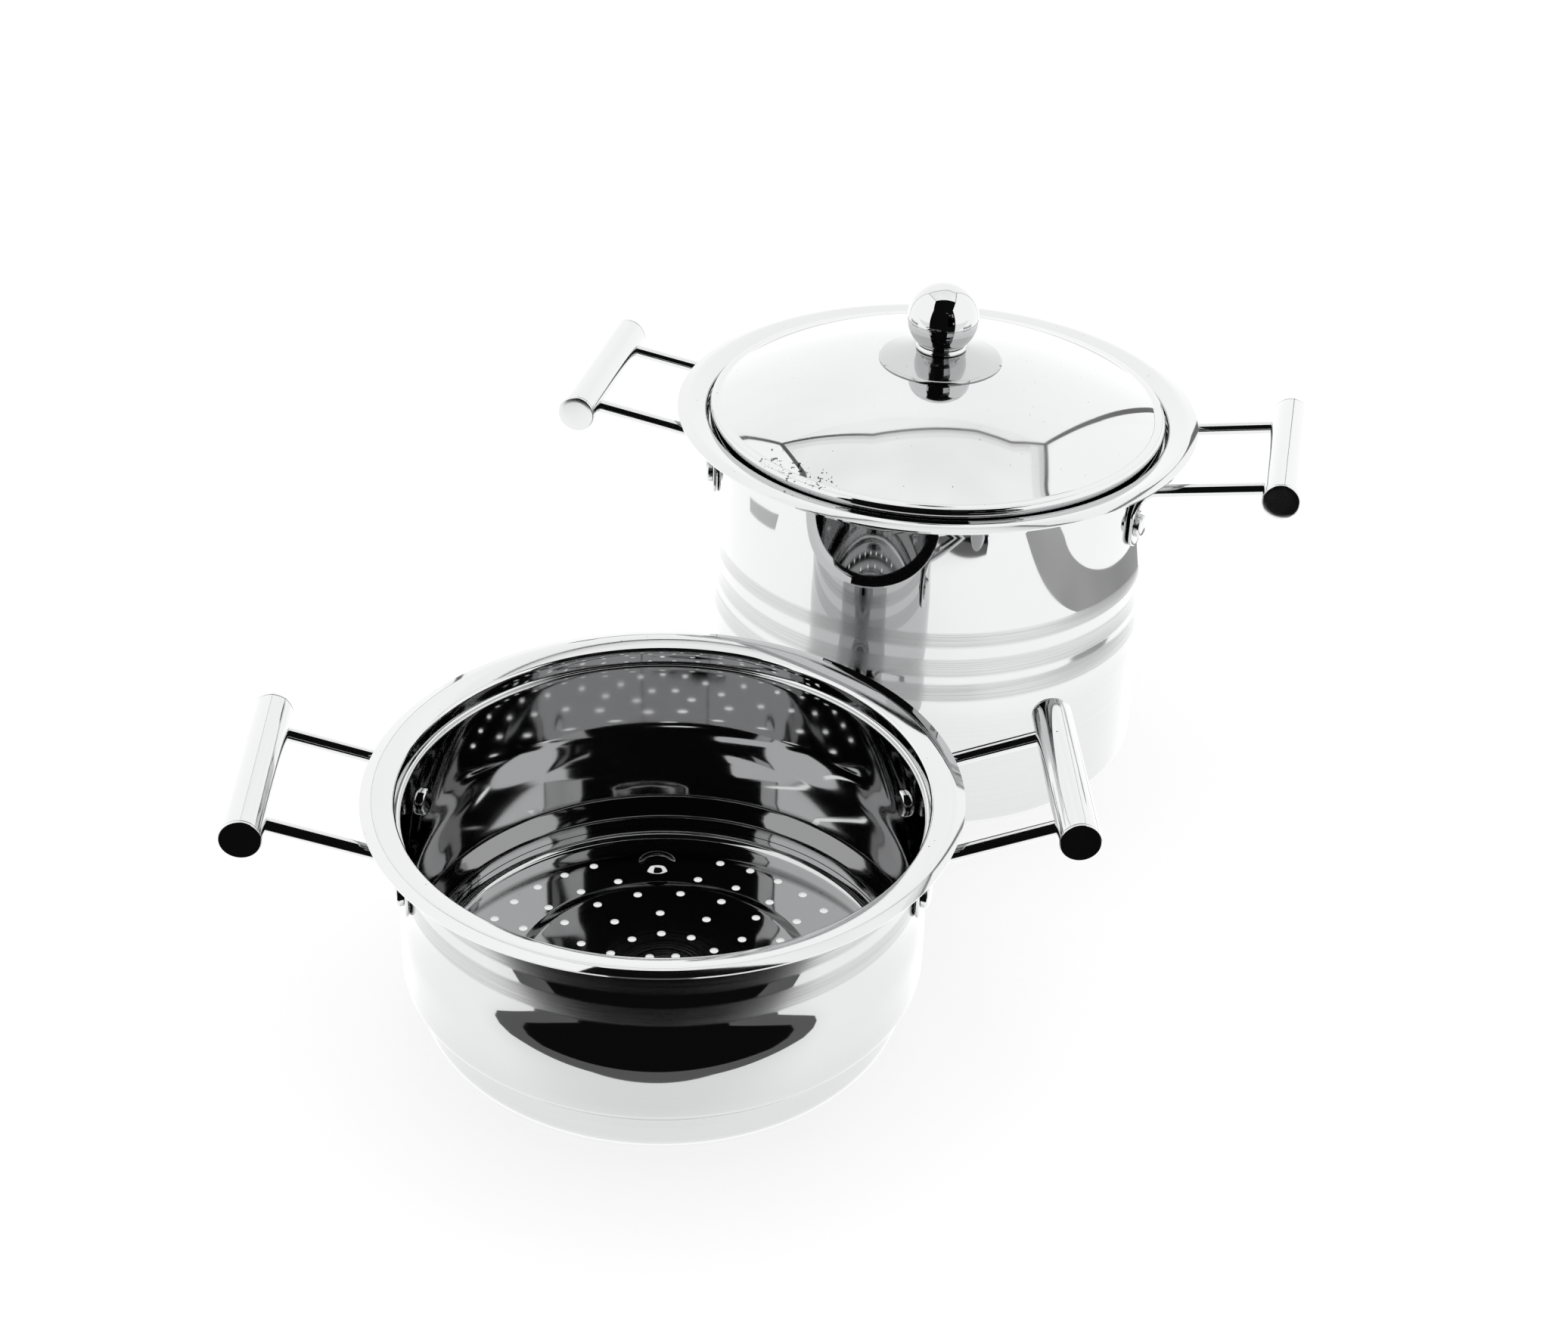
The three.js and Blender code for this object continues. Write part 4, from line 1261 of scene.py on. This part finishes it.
    def build_ball(self) -> None:
        """Makes the ball, bored for its screw."""
        bore = self.ball_foot + self.screw_grip + self.gap
        neck = math.pi - math.asin(self.neck / self.ball)
        ball = Bench()
        ball.arc(self.ball, 0.0, neck, self.ball_centre, self.arc_steps)
        foot = Bench()
        foot.wire([Corner(self.neck, self.ball_foot), Corner(self.hole, self.ball_foot),
                   Corner(self.hole, bore), Corner(0.0, bore)], reach=3.0)
        ball.take(foot)
        ball.revolve(self.knob_steps)
        ball.piece("knob_sphere", Body.LID, Slot.MIRROR, "knob_ball", [self.steel])


@dataclass
class Studio:
    """A white table in a light tent that is open, and dark, towards the camera.

    Places are in a frame turned so that Y points away from the camera; turn brings them
    into the model's frame. Lines named near and far are the two sides of one strip.
    """

    turn: float = math.radians(11.5)
    camera: Point = (-79.6, -1246.0, 798.5)
    pitch: float = math.radians(31.906)
    roll: float = math.radians(1.909)
    focal: float = 3302.5
    image_width: float = 2073.0
    sensor: float = 36.0
    view_end: float = 50.0
    glare: float = 1.55
    table_size: float = 6.0
    table_edge: float = -455.0
    table_fade: float = 65.0
    table_dim: float = 0.78
    table_matt: float = 0.36
    table_glow: float = 0.68
    opening: float = -496.0
    left: float = -489.0
    right: float = 362.0
    ceiling: float = 793.0
    roof_left: Spot = (-247.0, -95.0)
    roof_right: Spot = (341.0, -105.0)
    back_left: Spot = (-430.0, 400.0)
    back_right: Spot = (330.0, 335.0)
    border_near: Line = (
        (-400.0, -375.0), (-345.0, -410.0), (-290.0, -438.0), (-215.0, -451.0), (-134.0, -456.0),
        (-50.0, -451.0), (10.0, -438.0), (60.0, -420.0), (110.0, -404.0), (160.0, -390.0))
    border_far: Line = (
        (-425.0, -390.0), (-362.0, -430.0), (-303.0, -460.0), (-222.0, -474.0), (-136.0, -479.0),
        (-46.0, -475.0), (18.0, -459.0), (74.0, -439.0), (124.0, -420.0), (170.0, -402.0))
    foot: tuple[float, ...] = (-489.0, -400.0, -310.0, -222.0, -136.0, -46.0, 18.0, 74.0, 124.0, 180.0)
    border_height: float = 0.6
    border_width: float = 14.0
    border_step: float = 2.0
    rooms: tuple[tuple[str, float, float], ...] = (("left", -489.0, -400.0), ("right", 115.0, 362.0))
    room_height: Spot = (190.0, 440.0)
    room_step: float = 0.5
    window_step: float = 1.0
    windows: tuple[tuple[float, float, float, float], ...] = (
        (250.0, 470.0, 60.0, 120.0), (150.0, 520.0, 50.0, 30.0), (265.0, 240.0, 55.0, 60.0), (60.0, 610.0, 70.0, 14.0))
    right_near: Line = (
        (285.0, -455.0), (284.0, -315.0), (280.0, -250.0), (280.0, -198.0), (283.0, -135.0),
        (286.0, -68.0), (281.0, 8.0), (256.0, 88.0), (215.0, 148.0))
    right_far: Line = (
        (372.0, -455.0), (371.0, -300.0), (368.0, -215.0), (352.0, -180.0), (345.0, -114.0),
        (339.0, -38.0), (328.0, 31.0), (314.0, 84.0), (296.0, 150.0))
    left_near: Line = ((-378.0, -75.0), (-380.0, -15.0), (-376.0, 50.0))
    left_far: Line = ((-400.0, -90.0), (-404.0, -15.0), (-394.0, 60.0))
    fold_height: float = 0.8
    back_bends: Line = ((-147.0, 281.0), (128.0, 303.0), (224.0, 280.0))
    left_bend: Spot = (-343.0, 153.0)
    right_bend: Spot = (324.0, 125.0)
    seam_width: float = 11.0
    seam_step: float = 9.0
    seam_aim: Point = (-60.0, -60.0, 150.0)
    back_left_seam: Points = ((-425.0, 398.0, 400.0), (-395.0, 395.0, 60.0))
    back_right_seam: Points = ((305.0, 332.0, 460.0), (265.0, 330.0, 60.0))
    shades: Line = ((2.0, 24.0), (24.0, 48.0))
    shade_back: Line = ((-425.0, 395.0), (325.0, 330.0))
    shade_side: Spot = (326.0, 300.0)
    shade_drops: Spot = (2.0, 3.0)
    folds: Grain = Grain(3.0, 2.0)
    second_bounce: float = 1.5
    soft_rounds: int = 3
    soft_cuts: Spot = (0.25, 0.75)
    lamp_size: Spot = (900.0, 700.0)
    lamp_place: Point = (-50.0, 50.0, 1100.0)
    lamp_power: float = 1.5

    def build(self) -> None:
        """Sets up the camera, the table, the tent and the light."""
        bpy.context.scene.view_settings.view_transform = "Standard"
        self.spin = Matrix.Rotation(self.turn, 4, "Z")
        self.build_camera()
        self.build_world()
        self.build_floor()
        self.build_opening()
        self.build_cloth()
        self.build_lamp()

    def build_camera(self) -> None:
        """Puts the camera at the photograph's viewing angle."""
        scene = bpy.context.scene
        aim = Matrix.Rotation(math.pi / 2 - self.pitch, 4, "X") @ Matrix.Rotation(self.roll, 4, "Z")
        data = bpy.data.cameras.new("camera")
        data.sensor_fit = "HORIZONTAL"
        data.sensor_width = self.sensor
        data.lens = self.focal * self.sensor / self.image_width
        data.clip_end = self.view_end
        camera = bpy.data.objects.new("camera", data)
        camera.matrix_world = self.spin @ Matrix.Translation(Vector(self.camera) * MM) @ aim
        scene.collection.objects.link(camera)
        scene.camera = camera

    def build_world(self) -> None:
        """Gives the scene an even white surround, brighter where steel mirrors it."""
        world = bpy.data.worlds.new("surround")
        world.use_nodes = True
        graph = Graph(world.node_tree)
        mirrored = graph.mirrored(graph.add("ShaderNodeLightPath").outputs)
        level = graph.calc("ADD", graph.calc("MULTIPLY", mirrored, self.glare - 1.0), 1.0)
        light = graph.add("ShaderNodeBackground", {"Color": WHITE, "Strength": level})
        graph.add("ShaderNodeOutputWorld", {"Surface": light.outputs["Background"]})
        bpy.context.scene.world = world

    def put(self, name: str, bm: bmesh.types.BMesh, material: Material) -> bpy.types.Object:
        """Puts a finished sheet of the stage into the scene.

        Args:
            name: Its name.
            bm: Its shape, which is used up.
            material: Its finish.

        Returns:
            The new object.
        """
        mesh = bpy.data.meshes.new(name)
        bm.to_mesh(mesh)
        bm.free()
        mesh.materials.append(material)
        obj = bpy.data.objects.new(name, mesh)
        bpy.context.scene.collection.objects.link(obj)
        return obj

    def strip(self, name: str, near: Sequence[Point], far: Sequence[Point], material: Material) -> None:
        """A sheet between two lines of as many points, which only polished steel sees.

        Args:
            name: Its name.
            near: One side.
            far: The other side.
            material: Its finish.
        """
        bm = bmesh.new()
        one, other = ([bm.verts.new(Vector(p) * MM) for p in line] for line in (near, far))
        for k in range(len(one) - 1):
            bm.faces.new((one[k], one[k + 1], other[k + 1], other[k]))
        bmesh.ops.transform(bm, matrix=self.spin, verts=bm.verts)
        obj = self.put(name, bm, material)
        obj.visible_camera = False
        obj.visible_diffuse = False
        obj.visible_shadow = False

    def panel(self, name: str, corners: Sequence[Point], material: Material) -> None:
        """A flat sheet with four corners, given in order."""
        self.strip(name, corners[:2], corners[:1:-1], material)

    def upright(self, name: str, wide: Spot, high: Spot, step: float, material: Material) -> None:
        """An upright panel in the tent's opening.

        Args:
            name: Its name.
            wide: Where it starts and ends across.
            high: Its foot and its top.
            step: How far it stands behind the opening.
            material: Its finish.
        """
        y = self.opening + step
        self.panel(name, [(wide[0], y, high[0]), (wide[1], y, high[0]), (wide[1], y, high[1]), (wide[0], y, high[1])],
                   material)

    @staticmethod
    def lift(line: Sequence[Spot], height: float) -> list[Point]:
        """A line at a height over the table."""
        return [(x, y, height) for x, y in line]

    def soften(self, line: Sequence[Spot], height: float) -> list[Point]:
        """A line at a height over the table, with its corners cut.

        Args:
            line: Its points.
            height: Its height.

        Returns:
            The softened line.
        """
        points = [Vector(p) for p in self.lift(line, height)]
        for _ in range(self.soft_rounds):
            cut = [points[0]]
            for a, b in zip(points, points[1:]):
                cut += [a.lerp(b, share) for share in self.soft_cuts]
            points = cut + [points[-1]]
        return [tuple(p) for p in points]

    def glow(self, name: str, second: bool = False) -> Material:
        """A cloth or card that shines by itself.

        Args:
            name: The material's name, which TONES has.
            second: Whether only second reflections show it.

        Returns:
            The material.
        """
        level, uneven = TONES[name]
        graph, material = Graph.of_material(name)
        shade = graph.ramp(graph.noise(graph.here(), self.folds), *MIDDLE, level * (1.0 - uneven), level)
        if second:
            bounces = graph.add("ShaderNodeLightPath").outputs["Ray Depth"]
            shade = graph.calc("MULTIPLY", shade, graph.calc("GREATER_THAN", bounces, self.second_bounce))
        light = graph.add("ShaderNodeEmission", {"Color": WHITE, "Strength": shade})
        graph.add("ShaderNodeOutputMaterial", {"Surface": light.outputs["Emission"]})
        return material

    def build_floor(self) -> None:
        """Makes the white table, which keeps the object's shadow and dims towards its edge."""
        bm = bmesh.new()
        bmesh.ops.create_grid(bm, x_segments=1, y_segments=1, size=self.table_size)
        graph, material = Graph.of_material("white_table")
        path = graph.add("ShaderNodeLightPath").outputs
        away = (-math.sin(self.turn), math.cos(self.turn), 0.0)
        depth = graph.vector("DOT_PRODUCT", "Value", graph.here(), away)
        edge, bright = self.table_edge, self.glare - self.table_matt
        # Steel sees the table's glow dim towards its front edge: painted shade near the tent's open front.
        tone = graph.ramp(depth, edge * MM, (edge + self.table_fade) * MM, self.table_dim * bright, bright)
        seen = graph.calc("ADD", graph.calc("MULTIPLY", path["Is Camera Ray"], self.table_glow),
                          graph.calc("MULTIPLY", graph.mirrored(path), tone))
        matt = graph.add("ShaderNodeBsdfDiffuse", {"Color": (*[self.table_matt] * 3, 1.0)})
        light = graph.add("ShaderNodeEmission", {"Color": WHITE, "Strength": seen})
        both = graph.add("ShaderNodeAddShader", {0: matt.outputs["BSDF"], 1: light.outputs["Emission"]})
        graph.add("ShaderNodeOutputMaterial", {"Surface": both.outputs["Shader"]})
        self.put("table", bm, material)

    def build_opening(self) -> None:
        """Makes the tent's dark opening, its grey borders and the light that comes in through it."""
        dark, grey = self.glow("opening"), self.glow("border")
        high = (0.0, self.ceiling)
        self.upright("opening_front", (self.left, self.right), high, 0.0, dark)
        front = [(self.left, self.opening), (self.right, self.opening)]
        self.panel("opening_top", self.lift([*front, self.roof_right, self.roof_left], self.ceiling), dark)
        near, far, foot = (self.soften(line, self.border_height) for line in (
            self.border_near, self.border_far, [(x, self.opening) for x in self.foot]))
        self.strip("border_table", near, far, grey)
        self.strip("opening_foot", far, foot, dark)
        room, window = self.glow("room", second=True), self.glow("window")
        for name, start, end in self.rooms:
            self.upright(f"room_{name}", (start, end), self.room_height, self.room_step, room)
        for k, (x, z, width, height) in enumerate(self.windows):
            self.upright(f"window_{k}", (x, x + width), (z, z + height), self.window_step, window)
        for name, x, inward in (("left", self.left, self.border_width), ("right", self.right, -self.border_width)):
            self.upright(f"border_{name}", (x, x + inward), high, self.border_step, grey)

    def build_cloth(self) -> None:
        """Makes the tent's cloth, its folds on the table and its seams."""
        # The folds are darker strips on the table where the cloth bends up into the walls: painted shade in the folds.
        for name, near, far, material in (
            ("fold_right", self.right_near, self.right_far, self.glow("fold")),
            ("fold_left", self.left_near, self.left_far, self.glow("soft_fold")),
        ):
            self.strip(name, self.soften(near, self.fold_height), self.soften(far, self.fold_height), material)
        top, left, right = self.ceiling, self.back_left, self.back_right
        cloth, roof, seam = (self.glow(name) for name in ("cloth", "roof_cloth", "seam"))
        self.panel("back_cloth", self.lift([left, right], 0.0) + self.lift([right, left], top), cloth)
        self.panel("roof", self.lift([self.roof_left, self.roof_right, right, left], top), roof)
        self.seam("seam_back", self.lift([left, *self.back_bends, right], top), seam)
        back = [self.shade_back[0], *self.back_bends, self.shade_back[1]]
        side = [self.shade_side, self.right_bend, self.roof_right]
        back_z, side_z = (top - drop for drop in self.shade_drops)
        for k, ends in enumerate(self.shades):
            shade = self.glow(f"seam_shade_{k}")
            self.strip(f"shade_back_{k}", *([(x, y - d, back_z) for x, y in back] for d in ends), shade)
            self.strip(f"shade_side_{k}", *([(x - d, y, side_z) for x, y in side] for d in ends), shade)
        self.seam("seam_left", self.lift([left, self.left_bend, self.roof_left], top), seam)
        self.seam("seam_right", self.lift([right, self.right_bend, self.roof_right], top), seam)
        self.seam("seam_back_left", [(*left, top), *self.back_left_seam], seam)
        self.seam("seam_back_right", [(*right, top), *self.back_right_seam], seam)

    def seam(self, name: str, line: Sequence[Point], material: Material) -> None:
        """A dark seam of the tent, as a thin ribbon along a line that faces the object.

        Args:
            name: Its name.
            line: The points that it runs through.
            material: Its finish.
        """
        for k, (a, b) in enumerate(zip(line, line[1:])):
            a, b = Vector(a), Vector(b)
            to_pot = (Vector(self.seam_aim) - (a + b) / 2).normalized()
            across = (b - a).cross(to_pot).normalized() * self.seam_width / 2
            step = to_pot * self.seam_step
            corners = [tuple(p + step) for p in (a - across, b - across, b + across, a + across)]
            self.panel(f"{name}_{k}", corners, material)

    def build_lamp(self) -> None:
        """Hangs a large soft lamp over the table, for its shadow."""
        data = bpy.data.lights.new("soft_top", "AREA")
        data.shape = "RECTANGLE"
        data.size, data.size_y = (size * MM for size in self.lamp_size)
        data.energy = self.lamp_power
        lamp = bpy.data.objects.new("soft_top", data)
        lamp.matrix_world = self.spin @ Matrix.Translation(Vector(self.lamp_place) * MM)
        lamp.visible_glossy = False
        lamp.visible_camera = False
        bpy.context.scene.collection.objects.link(lamp)


def dress_fasteners() -> None:
    """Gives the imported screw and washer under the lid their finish."""
    steel = PlainSteel("fastener_steel").material()
    for name in ("knob_screw", "knob_washer"):
        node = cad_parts[name]
        for slot in node.material_slots:
            slot.material = steel
        log.info("%s keeps its packed shape", name)


def main() -> None:
    """Builds the studio, the vessels, the lid and the handles in order."""
    logging.basicConfig(level=logging.INFO, format="%(name)s: %(message)s")
    Studio().build()
    bright = MirrorSteel("knob_steel").material()
    handles = MirrorSteel("handle_steel", dull=0.11, wave=0.03).material()
    pot, steamer = Pot(), Steamer()
    pot.build()
    Lid(bright).build()
    steamer.build()
    pot.handles(handles)
    steamer.handles(handles)
    dress_fasteners()


if __name__ == "__main__":
    main()
